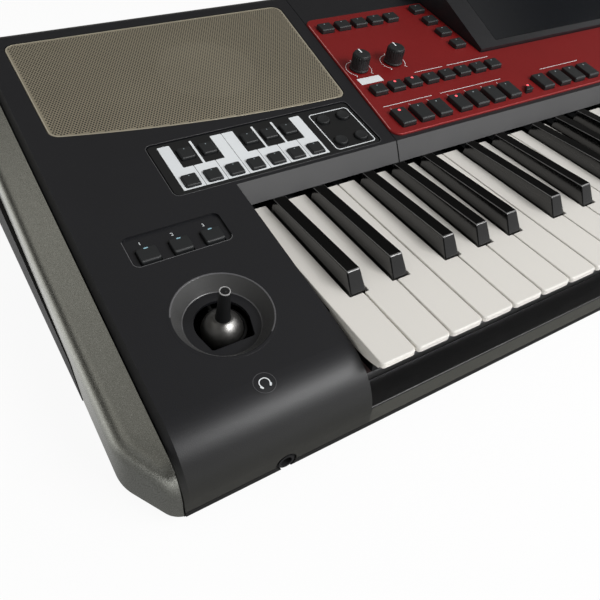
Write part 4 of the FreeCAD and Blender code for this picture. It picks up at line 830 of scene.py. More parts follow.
ROW_START, ROW_END = CAP_FRONT + 0.02, REAR_Y - 20.0
cap_rows = [ROW_START + NOSE_ROLL * (1 - math.cos(math.radians(a))) for a in range(0, 90, 6)]
cap_rows += [CAP_FRONT + NOSE_ROLL + 1.5 * k for k in range(1, 17)]
cap_rows += [40, 50, 60, 70, 80, STEP_START, 87, 91, STEP_END, 100]
cap_rows += [*range(120, 350, 20), 350, ROW_END]
cap_rows += [ROW_END + 19.9 * math.sin(math.radians(a)) for a in range(10, 91, 10)]
for name, side in (("left_end_cap", 1), ("right_end_cap", -1)):
    bm = bmesh.new()
    loft(bm, [[at(sided(x, side), y, z) for x, z in cap_row(y)] for y in cap_rows])
    settle("painted_" + name, bm, [cap_grey], "case", [name], 50)

# %% [markdown]
# ## Buttons of the control panel
# The red panel has tall buttons in front and square ones behind, each with a small lamp at its rear
# edge. One template of each size is copied to all its places by the tree above, so that a change to
# the template reaches every button.

# %% Panel button places
LOWER_V, UPPER_V = PLATE_FRONT + 15.3, PLATE_FRONT + 50.9
LOWER_PITCH, UPPER_PITCH = 17.8, 17.2
LOWER_GROUPS = ((SEAM + 19.4, 3), (SEAM + 75.6, 4), (SEAM + 188.2, 3))
UPPER_START = SEAM + 21.8
PLATE_REAR = DECK_REAR - 59.6
BEZEL_FRONT = PLATE_FRONT + 71.3
BUTTON_FOOT, BUTTON_TOP = -3.5, 4.9
TALL, SQUARE = (12.6, 18.0), (12.4, 10.4)
HOLE_GAP, LAMP_FOOT = 0.8, -0.3


def both(spots):
    """Spots on the left half and their mirror images."""
    return spots + [(sided(u), v) for u, v in spots]


def row_of(start, pitch, count, v):
    return [(start + pitch * k, v) for k in range(count)]


lower_left = [spot for start, count in LOWER_GROUPS for spot in row_of(start, LOWER_PITCH, count, LOWER_V)]
lower_spots = both(lower_left + [(SEAM + 168.1, LOWER_V)])
beside_display = [(MIDDLE - 122.0, BEZEL_FRONT + 16.0 + 20.0 * k) for k in range(4)]
upper_spots = both(row_of(UPPER_START, UPPER_PITCH, 8, UPPER_V)
                   + row_of(SEAM + 30.0, UPPER_PITCH, 5, PLATE_REAR - 18.0) + beside_display)
wedge_spots = both([(SEAM + 145.5, LOWER_V - 3.0)])
knob_spots = row_of(SEAM + 24.5, 34.0, 2, PLATE_FRONT + 82.3)
dial_spot = (sided(SEAM + 44.0), PLATE_FRONT + 95.3)


# %% Button shapes
def button_shape(size, high, low=BUTTON_FOOT, nose=1.8):
    """A button drawn about its own middle: crisp at the sides, softer along the front."""
    bm = bmesh.new()
    front = -size[1] / 2
    prism(bm, box_ring((0, 0), size, 0.9, 3), low, high, near,
          lambda p: 0.7 + (nose - 0.7) * held(front + 1.2 - p.y), 3)
    return bm


def hole_for(spot, size):
    return box_ring(spot, (size[0] + HOLE_GAP, size[1] + HOLE_GAP), 1.2, 3)


def lamp_shape(radius, high):
    bm = bmesh.new()
    prism(bm, round_ring((0, 0), radius, 10), LAMP_FOOT, high, near, 0.25, 2)
    return bm


def wedge_ring(spot, grow):
    u, v = spot
    half, low = 4.5 + grow, v - 4.0 - grow
    return soft_ring([(u - half, low, 0.8), (u + half, low, 0.8), (u + half, low + 2 * half, 0.8)], 3)


def button_piece(name, node, spots, shape, lit, lamp_shift, lamp_radii, wedges=()):
    """A group of buttons with lit and clear lamps, as one piece in place of its node."""
    bm = bmesh.new()
    copies(bm, [deck(*spot) for spot in spots], shape, charcoal, 0)
    for spot in wedges:
        prism(bm, wedge_ring(spot, 0), BUTTON_FOOT, BUTTON_TOP, deck, 0.7, 3)
    bright = [deck(u, v + lamp_shift, BUTTON_TOP) for u, v in lit]
    bright += [deck(u + 1.6, v + 1.0, BUTTON_TOP) for u, v in wedges]
    clear = [deck(u, v + lamp_shift, BUTTON_TOP) for u, v in spots if (u, v) not in lit]
    copies(bm, bright, lamp_shape(lamp_radii[0], 0.12), lamp_red, 1)
    copies(bm, clear, lamp_shape(lamp_radii[1], 0.1), lamp_off, 2)
    settle(name, bm, [charcoal, lamp_red, lamp_off], node, [node])


# %% Panel buttons
button_piece("tall_buttons", "lower_row_buttons", lower_spots, button_shape(TALL, BUTTON_TOP),
             [lower_spots[0], lower_spots[3]], 6.0, (1.25, 0.8), wedge_spots)
button_piece("square_buttons", "upper_row_buttons", upper_spots, button_shape(SQUARE, BUTTON_TOP, nose=1.4),
             upper_spots[1:3], 3.0, (1.2, 0.7))

# %% [markdown]
# ## Red panel
# The panel is one painted sheet with a rounded rim. It has a hole for every button, knob and the dial,
# so it is drawn as an outline with holes and filled by triangles.

# %% Red panel
PLATE_LEFT = SEAM + 0.5
PLATE_FAR = PLATE_LEFT + SLANT * (PLATE_REAR - PLATE_FRONT)
PLATE_ROUND = 8.0
DISPLAY_HALF, DISPLAY_ROUND = 108.3, 0.6
cut_front = BEZEL_FRONT - 0.3
cut_left, cut_right = MIDDLE - DISPLAY_HALF, MIDDLE + DISPLAY_HALF
outline = [(PLATE_LEFT, PLATE_FRONT, PLATE_ROUND), (sided(PLATE_LEFT), PLATE_FRONT, PLATE_ROUND),
           (sided(PLATE_FAR), PLATE_REAR, PLATE_ROUND), (cut_right, PLATE_REAR, DISPLAY_ROUND),
           (cut_right, cut_front, DISPLAY_ROUND), (cut_left, cut_front, DISPLAY_ROUND),
           (cut_left, PLATE_REAR, DISPLAY_ROUND), (PLATE_FAR, PLATE_REAR, PLATE_ROUND)]
holes = [hole_for(spot, TALL) for spot in lower_spots]
holes += [hole_for(spot, SQUARE) for spot in upper_spots]
holes += [wedge_ring(spot, 0.4) for spot in wedge_spots]
holes += [round_ring(spot, 3.1, 16) for spot in knob_spots + [dial_spot]]
bm = bmesh.new()
plate(bm, soft_ring(outline, 6), holes, 0.02, 1.4, deck, 0.9, 3)
settle("painted_panel", bm, [panel_red], "case", ["control_panel"], 40)

# %% [markdown]
# ## Thin marks
# Printed signs and the fine bright lines along recess edges are only a few hundredths of a millimetre
# thick, but they are real thin solids, so they look right from any side. The bright lines are painted
# highlights.


# %% Mark helpers
def ribbon(bm, path, width, low, high, place, slot=0):
    """A thin flat band along an open line of (x, y) points."""
    points = [Vector(p) for p in path]
    lefts, rights = [], []
    for i, point in enumerate(points):
        run = (points[min(i + 1, len(points) - 1)] - points[max(i - 1, 0)]).normalized()
        side = Vector((-run.y, run.x)) * (width / 2)
        lefts.append(point + side)
        rights.append(point - side)
    prism(bm, rights + lefts[::-1], low, high, place, 0.01, 1, slot)


def frame_mark(bm, ring, width, low, high, place, slot=0):
    """A closed printed line: the outline with the same outline, drawn in, as its hole."""
    plate(bm, ring, [inset(ring, width)], low, high, place, 0.01, 1, slot)


def numeral(bm, text, spot, size, height, place, slot=0):
    """A plain number, standing a hair above the surface."""
    curve = bpy.data.curves.new("numeral", "FONT")
    curve.body = text
    curve.size = size
    curve.align_x = "CENTER"
    curve.align_y = "CENTER"
    curve.extrude = 0.02
    host = in_scene("numeral", curve)
    graph = bpy.context.evaluated_depsgraph_get()
    mesh = bpy.data.meshes.new_from_object(host.evaluated_get(graph))
    for vert in mesh.vertices:
        vert.co = place(spot[0] + vert.co.x, spot[1] + vert.co.y, height + vert.co.z)
    for face in added(bm, mesh):
        face.material_index = slot
    bpy.data.objects.remove(host)


# Light grey hairlines along edges: painted highlights.
edge_highlight_paint = finish("painted_edge_highlight", (0.1, 0.1, 0.105), 0.3, 0.5, 0.05)

# %% [markdown]
# ## Joystick
# The stick stands on a polished ball in a round bowl. The bowl is a turned profile with a fine bright
# rim line and a like line round its floor, both painted highlights; the floor has a gate with a round
# back and a straight front that the ball looks through.

# %% Joystick bowl
JOY_V = 67.2
BALL_H, BALL_RADIUS = -15.0, 11.8
at_joystick = deck_about(CHEEK, JOY_V)
bm = bmesh.new()
rim = arc((28.0, -0.94), 1.0, 90, 146, 4)
wall = [(29.3, 0.02), (29.25, 0.06)] + rim + [(21.9, -8.6), (21.5, -9.0), (21.0, -9.05), (20.8, -11.0),
                                              (27.9, -11.0), (27.9, 0.02)]
revolve(bm, wall, at_joystick, 72, [2] * 5 + [0] * 8, True)
gate = [(-11.5, -14.2), (11.5, -14.2), (12.6, -13.6), (15.4, -2.0)] + arc((0, 0), 15.5, 0, 180, 20)
gate = [Vector(p) for p in gate + [(-15.4, -2.0), (-12.6, -13.6)]]
plate(bm, round_ring((0, 0), 21.3, 48), [gate], -11.0, -9.0, at_joystick, 0.2, 2, 2)
# Light grey lines part way round the rim and the floor edge: painted highlights.
rim_highlight_line = [(28.05, 0.05), (28.05, 0.1), (27.55, 0.06), (27.2, -0.18), (27.3, -0.3)]
floor_highlight_line = [(21.85, -8.75), (21.7, -8.7), (21.35, -8.95), (21.4, -9.05)]
for line, first, count in ((rim_highlight_line, -50, 54), (floor_highlight_line, -32, 51)):
    turns = [math.radians(first + 4 * k) for k in range(count)]
    loft(bm, [[at_joystick(r * math.cos(t), r * math.sin(t), h) for r, h in line] for t in turns], 1)
settle("joystick_bowl", bm, [bowl_grey, edge_highlight_paint, satin_black], "case", ["joystick_cup"])

# %% Joystick stick and ball
ball_metal = finish("polished_dark_ball", (0.3, 0.295, 0.285), 0.38, 2.0, 0.02, Metallic=1.0)
# Light grey for the ring at the tip of the stick: a painted highlight.
stick_rim_highlight = finish("painted_highlight_stick_rim", (0.34, 0.34, 0.34), 0.3, 0.5, 0.05)
bm = bmesh.new()
ball = [(0, BALL_H - BALL_RADIUS)] + arc((0, BALL_H), BALL_RADIUS, -80, 60, 18)
revolve(bm, ball + [(5.1, -4.3), (4.6, -3.6), (0, -3.6)], at_joystick, 48, 0)
stick = [(0, -4.2), (4.7, -4.2), (4.3, -3.2), (4.0, -2.0), (3.8, 0), (3.15, 17.6)]
revolve(bm, stick + [(3.0, 18.1), (0, 18.1)], at_joystick, 32, 1)
# The ring at the tip takes the painted highlight.
revolve(bm, [(3.05, 17.9), (3.0, 18.4), (2.75, 18.5), (2.5, 18.4), (2.45, 18.0)], at_joystick, 32, 2, True)
revolve(bm, [(0, 18.0), (0.9, 18.0), (0.9, 18.25), (0.6, 18.4), (0, 18.45)], at_joystick, 16, 1)
prism(bm, round_ring((0, 0), 1.2, 12), 11.0, 13.3,
      lambda x, y, h: deck(CHEEK + h, JOY_V + x, BALL_H + y), 0.2, 1, 3)
settle("joystick_stick", bm, [ball_metal, pad_dark, stick_rim_highlight, zinc], "joystick_lever", ["joystick_lever"])

# %% [markdown]
# ## Assignable switches and the socket sign
# Three soft switches sit in a shallow tray. Each has a pale lamp at its rear edge and a plain number
# behind it. The socket sign is a band with two pads in a fine ring. The ring and a line along the
# tray's left and front edges are light grey: painted highlights.

# %% Switches
SWITCH_V, SWITCH_PITCH = 121.0, 19.6
switches = {number: CHEEK + (number - 2) * SWITCH_PITCH for number in (1, 2, 3)}
for number, u in switches.items():
    place = deck_about(u, SWITCH_V)
    bm = bmesh.new()
    prism(bm, box_ring((0, 0), (12.0, 10.5), 1.4, 4), -4.0, 1.0, place,
          lambda p: 0.8 + 0.9 * held(-4.2 - p.y), 3)
    prism(bm, box_ring((0, 4.2), (2.6, 0.9), 0.4, 3), 0.6, 1.08, place, 0.1, 2, 1)
    name = "assign_switch_%d" % number
    settle("soft_switch_%d" % number, bm, [charcoal, lamp_blue], name, [name])

# %% Tray and socket marks
TRAY_HALF, TRAY_FRONT, TRAY_REAR, TRAY_ROUND = 30.2, 117.7, 135.0, 4.0
bm = bmesh.new()
for number, u in switches.items():
    numeral(bm, str(number), (u - 1.2, 131.6), 3.4, -1.57, deck, 0)
# A light grey line along the tray's left and front edges: a painted highlight.
tray = [(CHEEK - TRAY_HALF, TRAY_REAR), (CHEEK - TRAY_HALF, TRAY_FRONT)]
tray += arc((CHEEK - TRAY_HALF + TRAY_ROUND, TRAY_FRONT), TRAY_ROUND, 180, 270, 5)
tray += arc((CHEEK + TRAY_HALF - TRAY_ROUND, TRAY_FRONT), TRAY_ROUND, 270, 350, 5)
ribbon(bm, tray, 0.4, -0.3, 0.05, deck, 1)
sign = (CHEEK - 0.6, 20.0 / COS)
band = arc(sign, 2.75, -35, 215, 18)
ribbon(bm, band, 0.55, 0.0, 0.05, deck, 0)
for way, turn in ((-1, 35), (1, -35)):
    mid = Vector(sign) + Vector((way * 2.45, -1.9))
    tip = Matrix.Rotation(math.radians(turn), 2)
    pad = [tip @ p + mid for p in box_ring((0, 0), (1.0, 2.0), 0.45, 3)]
    prism(bm, pad, 0.0, 0.06, deck, 0.01, 1, 0)
# The fine ring round the socket sign is light grey: a painted highlight on its edge.
frame_mark(bm, round_ring(sign, 5.9, 48), 0.22, 0.0, 0.03, deck, 1)
# A light grey line round the keypad recess: a painted highlight on its edge.
frame_mark(bm, box_ring((sum(PAD) / 2, PAD_V), (158.4, 51.4), 4.6, 6), 0.3, 0.0, 0.03, deck, 1)
settle("deck_marks", bm, [white_print, edge_highlight_paint], "case", ())

# %% [markdown]
# ## Scale keypad
# A sunk plate carries twelve square buttons laid out as one octave on a white printed keyboard, and
# four round buttons in a printed frame. The printed keys reuse the outline of the real white keys.

# %% Keypad plate
NOTE_V, SHARP_V = PAD_V - 15.2, PAD_V + 9.8
NOTE_START, NOTE_PITCH = PAD[0] + 6.7, 15.4
NOTE, SHARP = (10.0, 10.4), (9.6, 10.4)
PRINT_LINE, PRINT_NECK = 0.16, 6.9
note_spots = row_of(NOTE_START + NOTE_PITCH / 2, NOTE_PITCH, 7, NOTE_V)
sharp_spots = [(NOTE_START + NOTE_PITCH * s, SHARP_V) for s in SHIFTS]
preset_spots = [(PAD[1] - edge, PAD_V + shift) for edge in (28.4, 11.4) for shift in (-14.2, 10.3)]
holes = [hole_for(spot, NOTE) for spot in note_spots]
holes += [hole_for(spot, SHARP) for spot in sharp_spots]
holes += [round_ring(spot, 5.2, 24) for spot in preset_spots]
bm = bmesh.new()
plate(bm, box_ring((sum(PAD) / 2, PAD_V), (156.0, 49.0), 3.6, 6), holes, -2.0, -0.4, deck, 0.4, 2)
for k, spot in enumerate(note_spots):
    start, end = NOTE_START + NOTE_PITCH * k, NOTE_START + NOTE_PITCH * (k + 1)
    left, right = start + PRINT_LINE, end - PRINT_LINE
    rear_left = start + PRINT_NECK if k in SHIFTS else left
    rear_right = end - PRINT_NECK if k + 1 in SHIFTS else right
    ring = notched(left, right, rear_left, rear_right, PAD_V - 22.0, PAD_V - 2.0, PAD_V + 21.5, 0.3)
    plate(bm, ring, [hole_for(spot, NOTE)], -0.42, -0.35, deck, 0.01, 1, 1)
frame_mark(bm, box_ring((PAD[1] - 19.6, PAD_V - 1.5), (33.4, 41.5), 3.0, 6), 0.75, -0.42, -0.35, deck, 1)
settle("keypad_plate", bm, [pad_dark, white_print], "case", ["scale_pad"])

# %% Keypad buttons
PAD_BUTTON_TOP, PAD_BUTTON_FOOT = 1.5, -4.0
bm = bmesh.new()
for spots, size in ((note_spots, NOTE), (sharp_spots, SHARP)):
    shape = button_shape(size, PAD_BUTTON_TOP, PAD_BUTTON_FOOT, 1.2)
    copies(bm, [deck(*spot) for spot in spots], shape, charcoal, 0)
lamps = [deck(u, v + 3.4, PAD_BUTTON_TOP) for u, v in note_spots + sharp_spots]
copies(bm, lamps, lamp_shape(0.6, 0.05), lamp_off, 1)
settle("keypad_buttons", bm, [charcoal, lamp_off], "note_buttons", ["note_buttons"])
bm = bmesh.new()
shape = bmesh.new()
revolve(shape, [(0, -4.0), (4.8, -4.0), (4.8, 0.6), (4.6, 1.1), (4.1, 1.4), (2.5, 1.15), (0, 1.0)], near, 28)
copies(bm, [deck(*spot) for spot in preset_spots], shape, charcoal, 0)
settle("preset_caps", bm, [charcoal], "preset_buttons", ["preset_buttons"])

# %% [markdown]
# ## Speaker grilles
# Each grille is a champagne sheet with about seven and a half thousand small holes in staggered rows.
# Cutting them would make a huge mesh, so a Geometry Nodes tree lays a staggered grid over the sheet,
# keeps the points that a ray finds above its inner field, and sets one dark six-sided disc on each: painted
# shade that stands for a hole, a little lighter over the speaker cone. A lighter line round the rim is a
# painted highlight.

# %% Perforation tree
holes_tree, given, made = tree_with("perforation", [
    ("Middle", "NodeSocketVector"), ("Turn", "NodeSocketVector"), ("Width", "NodeSocketFloat"),
    ("Depth", "NodeSocketFloat"), ("Columns", "NodeSocketInt"), ("Rows", "NodeSocketInt"),
    ("Hole radius", "NodeSocketFloat"), ("Finish", "NodeSocketMaterial")])


def knot(kind, **values):
    node = holes_tree.nodes.new(kind)
    for label, value in values.items():
        setattr(node, label, value)
    return node


def sum_knot(operation, first, second):
    node = knot("ShaderNodeMath", operation=operation)
    feed(holes_tree, node.inputs[0], first)
    feed(holes_tree, node.inputs[1], second)
    return node.outputs[0]


grid = knot("GeometryNodeMeshGrid")
row = sum_knot("MODULO", knot("GeometryNodeInputIndex").outputs[0], given.outputs["Rows"])
odd_row = sum_knot("MODULO", row, 2.0)
step = sum_knot("DIVIDE", given.outputs["Width"], given.outputs["Columns"])
shift = sum_knot("MULTIPLY", sum_knot("MULTIPLY", step, 0.5), odd_row)
shift_way = knot("ShaderNodeCombineXYZ")
stagger = knot("GeometryNodeSetPosition")
onto = knot("GeometryNodeTransform")
ray = knot("GeometryNodeRaycast")
ray.inputs["Ray Direction"].default_value = (0.0, SIN, -COS)
ray.inputs["Ray Length"].default_value = 0.02
missed = knot("FunctionNodeBooleanMath", operation="NOT")
sift = knot("GeometryNodeDeleteGeometry")
disc = knot("GeometryNodeMeshCircle", fill_type="NGON")
disc.inputs["Vertices"].default_value = 6
put = knot("GeometryNodeInstanceOnPoints")
real = knot("GeometryNodeRealizeInstances")
coat = knot("GeometryNodeSetMaterial")
for source, target in [
        (given.outputs["Width"], grid.inputs["Size X"]),
        (given.outputs["Depth"], grid.inputs["Size Y"]),
        (given.outputs["Columns"], grid.inputs["Vertices X"]),
        (given.outputs["Rows"], grid.inputs["Vertices Y"]),
        (shift, shift_way.inputs["X"]),
        (grid.outputs["Mesh"], stagger.inputs["Geometry"]),
        (shift_way.outputs[0], stagger.inputs["Offset"]),
        (stagger.outputs[0], onto.inputs["Geometry"]),
        (given.outputs["Middle"], onto.inputs["Translation"]),
        (given.outputs["Turn"], onto.inputs["Rotation"]),
        (given.outputs["Geometry"], ray.inputs["Target Geometry"]),
        (ray.outputs["Is Hit"], missed.inputs[0]),
        (onto.outputs[0], sift.inputs["Geometry"]),
        (missed.outputs[0], sift.inputs["Selection"]),
        (given.outputs["Hole radius"], disc.inputs["Radius"]),
        (sift.outputs[0], put.inputs["Points"]),
        (disc.outputs["Mesh"], put.inputs["Instance"]),
        (given.outputs["Turn"], put.inputs["Rotation"]),
        (put.outputs["Instances"], real.inputs["Geometry"]),
        (real.outputs["Geometry"], coat.inputs["Geometry"]),
        (given.outputs["Finish"], coat.inputs["Material"]),
        (coat.outputs["Geometry"], made.inputs["Geometry"])]:
    holes_tree.links.new(source, target)
print("perforation tree:", len(holes_tree.nodes), "nodes")

# %% Grilles
GRILLE_LEFT, GRILLE_FRONT, GRILLE_REAR = -92.0, PAD_V + 31.0, DECK_REAR - 27.6
GRILLE_ROUND, SHEET_TOP, HOLES_TOP = 8.0, -0.4, -0.37
HOLE_PITCH, HOLE_RADIUS = 2.0, 0.71
ROW_STEP = HOLE_PITCH * 0.866
FIELD_SIZE, FIELD_MIDDLE = (232.0, 142.0), (20.0, 283.0)
CONE_MIDDLE, CONE_RADIUS = (36.0, 280.0), 37.0


def sweep_through(a, b, c, steps):
    """Points on the circle through a, b and c, from a to c."""
    a, b, c = Vector(a), Vector(b), Vector(c)
    d = 2 * (a.x * (b.y - c.y) + b.x * (c.y - a.y) + c.x * (a.y - b.y))
    far_a, far_b, far_c = a.length_squared, b.length_squared, c.length_squared
    middle = Vector((far_a * (b.y - c.y) + far_b * (c.y - a.y) + far_c * (a.y - b.y),
                     far_a * (c.x - b.x) + far_b * (a.x - c.x) + far_c * (b.x - a.x))) / d
    first, last = [math.degrees(math.atan2(p.y - middle.y, p.x - middle.x)) for p in (a, c)]
    return arc(middle, (a - middle).length, first, first + (last - first + 180) % 360 - 180, steps)


def grille_ring():
    right = SEAM + SLANT * (GRILLE_FRONT - FALL_Y) - 11.5
    far = right + SLANT * (GRILLE_REAR - GRILLE_FRONT)
    bow = sweep_through((GRILLE_LEFT, GRILLE_FRONT + 23.0), ((GRILLE_LEFT + right) / 2, GRILLE_FRONT + 5.5),
                        (right, GRILLE_FRONT), 16)
    corners = [(*p, 0) for p in bow]
    corners[0] = (*bow[0], GRILLE_ROUND)
    corners[-1] = (*bow[-1], GRILLE_ROUND)
    corners += [(far, GRILLE_REAR, GRILLE_ROUND), (GRILLE_LEFT, GRILLE_REAR, GRILLE_ROUND)]
    return soft_ring(corners, 6)


def grille_field(ring, place):
    """The inner field of the sheet, as one flat face that the rays look for."""
    field = bmesh.new()
    face = field.faces.new([field.verts.new(place(p.x, p.y, SHEET_TOP)) for p in inset(ring, 2.2)])
    bmesh.ops.triangulate(field, faces=[face])
    mesh = bpy.data.meshes.new("field")
    field.to_mesh(mesh)
    field.free()
    return mesh


for name, side in (("left_grille", 1), ("right_grille", -1)):
    bm = bmesh.new()
    place = deck_on(side)
    ring = grille_ring()
    plate(bm, ring, [], -2.0, SHEET_TOP, place, 0.5, 2, 0)
    # The lighter line round the rim: a painted highlight.
    frame_mark(bm, inset(ring, 0.5), 0.55, -0.42, -0.36, place, 2)
    width, depth = FIELD_SIZE
    dots = bake(holes_tree, grille_field(ring, place), {
        "Middle": place(*FIELD_MIDDLE, HOLES_TOP), "Turn": (TILT, 0, 0), "Width": width * MM,
        "Depth": depth * MM, "Columns": int(width / HOLE_PITCH), "Rows": int(depth / ROW_STEP),
        "Hole radius": HOLE_RADIUS * MM, "Finish": hole_dark})
    bmesh.ops.recalc_face_normals(bm, faces=bm.faces)
    cone_middle = place(*CONE_MIDDLE, HOLES_TOP)
    dot_faces = added(bm, dots)
    # The discs are painted shade for the holes; over the cone they take the lighter shade.
    for face in dot_faces:
        over_cone = (face.calc_center_median() - cone_middle).length < CONE_RADIUS * MM
        face.material_index = 3 if over_cone else 1
    print(name, len(dot_faces), "holes")
    finishes = [champagne, hole_dark, champagne_rim_highlight, hole_cone]
    settle("perforated_" + name, bm, finishes, "case", [name])

# %% [markdown]
# ## Knobs and value dial
# The knobs are turned bodies with a ring of small ribs; the ribs are copies on a circle of spots.
# A white pointer on the top shows the turn.


# %% Knobs
def spots_about(centre, radius, height, count):
    """Places on a circle that stands above the deck."""
    return [deck(p.x, p.y, height) for p in round_ring(centre, radius, count)]


def rib_shape(radius, length):
    bm = bmesh.new()
    prism(bm, round_ring((0, 0), radius, 6), 0.0, length, near, 0.2, 1)
    return bm


for number, spot in enumerate(knob_spots, 1):
    bm = bmesh.new()
    profile = [(0, 2.0), (7.8, 2.0), (7.8, 3.0), (7.3, 3.4), (6.8, 13.6), (6.3, 14.6), (5.6, 15.0), (0, 14.9)]
    revolve(bm, profile, deck_about(*spot), 40, 0)
    copies(bm, spots_about(spot, 6.85, 3.2, 24), rib_shape(0.42, 10.2), charcoal, 0)
    ribbon(bm, [(spot[0], spot[1] + 1.0), (spot[0], spot[1] + 6.0)], 1.1, 14.8, 15.05, deck, 1)
    name = "control_knob_%d" % number
    settle("ribbed_knob_%d" % number, bm, [charcoal, white_print], name, [name])

bm = bmesh.new()
profile = [(0, 2.0), (18.8, 2.0), (18.8, 3.2), (18.2, 3.8), (17.8, 11.4), (17.0, 12.6), (15.6, 13.0),
           (13.0, 12.7), (0, 12.5)]
revolve(bm, profile, deck_about(*dial_spot), 64, 0)
copies(bm, spots_about(dial_spot, 18.0, 3.6, 48), rib_shape(0.45, 8.2), charcoal, 0)
revolve(bm, [(0, 12.52), (3.6, 12.52), (4.4, 12.9), (4.8, 12.55), (4.6, 12.4)],
        deck_about(dial_spot[0], dial_spot[1] - 9.0), 28, 1)
settle("ribbed_dial", bm, [charcoal, pad_dark], "value_dial", ["value_dial"])

# %% [markdown]
# ## Panel print
# Fine white lines bracket the groups of buttons, plain numbers stand behind the tall ones, and an arc
# of ticks goes round each knob. A pale line follows each end of the panel: a painted highlight along
# its edge. Words are left off.

# %% Panel print
PRINT = (1.38, 1.46)
LINE, BUTTON_HALF = 0.5, 6.0
NUMBER_V, NUMBER_SIZE, NUMBER_H = LOWER_V + 12.6, 3.2, 1.42
ARC_RADIUS, TICK_RADIUS = 10.6, 12.6


def bracket(first, last, v, place):
    """A line behind a group, from the first button's left side to the last one's right side."""
    ribbon(bm, [(first - BUTTON_HALF, v), (last + BUTTON_HALF, v)], LINE, *PRINT, place)


def number_row(start, pitch, count):
    for k in range(count):
        numeral(bm, str(k + 1), (start + pitch * k, NUMBER_V), NUMBER_SIZE, NUMBER_H, deck)


bm = bmesh.new()
for side in (1, -1):
    place = deck_on(side)
    for start, count in LOWER_GROUPS:
        bracket(start, start + LOWER_PITCH * (count - 1), LOWER_V + 17.0, place)
    for first, last in ((3, 4), (5, 7)):
        bracket(UPPER_START + UPPER_PITCH * first, UPPER_START + UPPER_PITCH * last, UPPER_V + 12.6, place)
    # The pale line along the panel's end: a painted highlight.
    panel_edge_highlight_path = [(SEAM + 1.5 + SLANT * (v - PLATE_FRONT), v) for v in (PLATE_FRONT + 7.5, PLATE_REAR - 8.0)]
    ribbon(bm, panel_edge_highlight_path, LINE, *PRINT, place, 1)
prism(bm, box_ring((SEAM + 24.8, UPPER_V + 15.1), (21.2, 8.0), 0.5, 2), *PRINT, deck, 0.01, 1)
for start, count in LOWER_GROUPS[:2]:
    number_row(start - 1.5, LOWER_PITCH, count)
number_row(sided(LOWER_GROUPS[0][0]), -LOWER_PITCH, LOWER_GROUPS[0][1])
for spot in knob_spots:
    ribbon(bm, arc(spot, ARC_RADIUS, -50, 230, 30), 0.4, *PRINT, deck)
    for turn in (-50, 90, 230):
        tick = [arc(spot, radius, turn, turn, 1)[0] for radius in (ARC_RADIUS, TICK_RADIUS)]
        ribbon(bm, tick, LINE, *PRINT, deck)
settle("panel_print", bm, [white_print, panel_edge_highlight], "case", ())

# %% [markdown]
# ## Camera, light and floor
# The camera stands close over the left end and looks down along the keys. The room is a plain
# studio: pale floor, white background and four soft boxes. Reflections show a dim room with a paler
# band high up instead of the white background, which would make the black deck look grey. In
# reflections the floor is darker near the front of the instrument: a painted shadow.

# %% Camera
CAMERA_PLACE = (-152.96, -145.15, 236.94)
CAMERA_RIGHT = Vector((0.8529, -0.51803, 0.06482))
CAMERA_AHEAD = Vector((0.41228, 0.59216, -0.69237))
camera = in_scene("camera", bpy.data.cameras.new("camera"))
axes = Matrix((CAMERA_RIGHT, CAMERA_RIGHT.cross(CAMERA_AHEAD), -CAMERA_AHEAD)).transposed()
camera.matrix_world = Matrix.Translation(at(*CAMERA_PLACE)) @ axes.to_4x4()
camera.data.lens = 37.43
camera.data.sensor_width = 36.0
camera.data.clip_start = 0.01
bpy.context.scene.camera = camera
print("camera at", [round(v, 3) for v in camera.location])


# %% Floor and room
def mixed(tree, share, first, second):
    node = tree.nodes.new("ShaderNodeMixShader")
    tree.links.new(share, node.inputs["Fac"])
    tree.links.new(first, node.inputs[1])
    tree.links.new(second, node.inputs[2])
    return node.outputs[0]


bm = bmesh.new()
bmesh.ops.create_grid(bm, x_segments=1, y_segments=1, size=4.0)
mesh = bpy.data.meshes.new("studio_floor")
bm.to_mesh(mesh)
bm.free()
floor = in_scene("studio_floor", mesh)
floor_finish = finish("pale_floor", (0.86, 0.86, 0.86), 0.9, 3.0, 0.02, drift=0.01)
tree = floor_finish.node_tree
path = tree.nodes.new("ShaderNodeLightPath").outputs
# Seen in reflections the floor glows, dimmer ahead of and beside the instrument: a painted shadow.
across_floor = axis_of(tree, "Object", "Y")
ahead_of_it = ranged(tree, across_floor, -0.225, -0.485, 0.16, 1.0)
beside_it = ranged(tree, across_floor, -0.16, -0.03, 0.0, 0.62)
far = sum_of(tree, (ahead_of_it, 1.0), (beside_it, 1.0))
glow = tree.nodes.new("ShaderNodeEmission")
tree.links.new(sum_of(tree, (far, 1.0), (path["Is Camera Ray"], 1.0)), glow.inputs["Strength"])
white = sum_of(tree, (path["Is Camera Ray"], 0.93), (path["Is Glossy Ray"], 1.0),
               (path["Is Transmission Ray"], 1.0))
surface = mixed(tree, white, tree.nodes["Principled BSDF"].outputs[0], glow.outputs[0])
tree.links.new(surface, tree.nodes["Material Output"].inputs["Surface"])
mesh.materials.append(floor_finish)

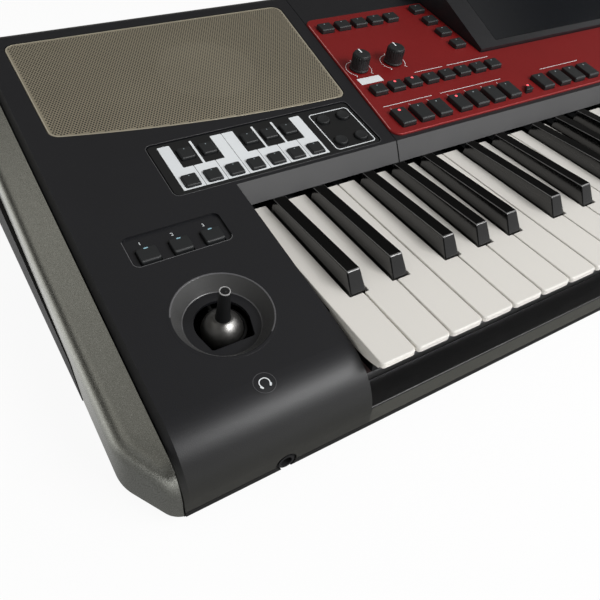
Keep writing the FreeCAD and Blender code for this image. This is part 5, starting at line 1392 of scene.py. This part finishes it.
world = bpy.data.worlds.new("studio")
bpy.context.scene.world = world
world.use_nodes = True
tree = world.node_tree
soft = tree.nodes["Background"]
soft.inputs["Color"].default_value = (1.0, 0.985, 0.96, 1)
soft.inputs["Strength"].default_value = 0.4
room = tree.nodes.new("ShaderNodeBackground")
room.inputs["Color"].default_value = (1.0, 0.98, 0.93, 1)
walls = tree.nodes.new("ShaderNodeValToRGB")
walls.color_ramp.elements[0].color = (0.6, 0.6, 0.6, 1)
walls.color_ramp.elements[1].color = (0.12, 0.12, 0.12, 1)
for height, grey in ((0.05, 0.45), (0.14, 0.2), (0.28, 0.1), (0.4, 0.03), (0.62, 0.04), (0.7, 0.3),
                     (0.75, 0.42), (0.86, 0.24)):
    walls.color_ramp.elements.new(height).color = (grey, grey, grey, 1)
tree.links.new(axis_of(tree, "Generated", "Z"), walls.inputs["Fac"])
behind_it = ranged(tree, axis_of(tree, "Generated", "Y"), -0.4, 0.1, 0.05, walls.outputs["Color"])
tree.links.new(behind_it, room.inputs["Strength"])
path = tree.nodes.new("ShaderNodeLightPath").outputs
backdrop = tree.nodes.new("ShaderNodeBackground")
mirrored = sum_of(tree, (path["Is Glossy Ray"], 1.0), (path["Is Transmission Ray"], 1.0))
backdrop.inputs["Color"].default_value = (1, 1, 1, 1)
inside = mixed(tree, mirrored, soft.outputs[0], room.outputs[0])
surface = mixed(tree, path["Is Camera Ray"], inside, backdrop.outputs[0])
tree.links.new(surface, tree.nodes["World Output"].inputs["Surface"])


# %% Soft boxes
AIM = at(60, 120, 0)


def soft_box(name, direction, distance, size, power):
    """A flat lamp that looks at the left end of the keys from a direction and a distance in metres."""
    light = bpy.data.lights.new(name, "AREA")
    light.shape = "RECTANGLE"
    light.size, light.size_y = size
    light.energy = power
    box = in_scene(name, light)
    way = Vector(direction).normalized()
    box.location = AIM + way * distance
    box.rotation_euler = way.to_track_quat("Z", "Y").to_euler()


soft_box("front_box", (0.41, -0.63, 0.65), 1.6, (1.05, 0.42), 19.6)
soft_box("low_box", (0.75, -0.63, 0.2), 1.8, (2.4, 1.2), 4.5)
soft_box("left_strip", (-0.8, -0.35, 0.48), 2.0, (1.4, 0.8), 0.5)
soft_box("right_strip", (0.85, -0.1, 0.52), 2.0, (1.0, 0.35), 3.0)
bpy.context.scene.view_settings.view_transform = "Standard"
print("lights:", len(bpy.data.lights))
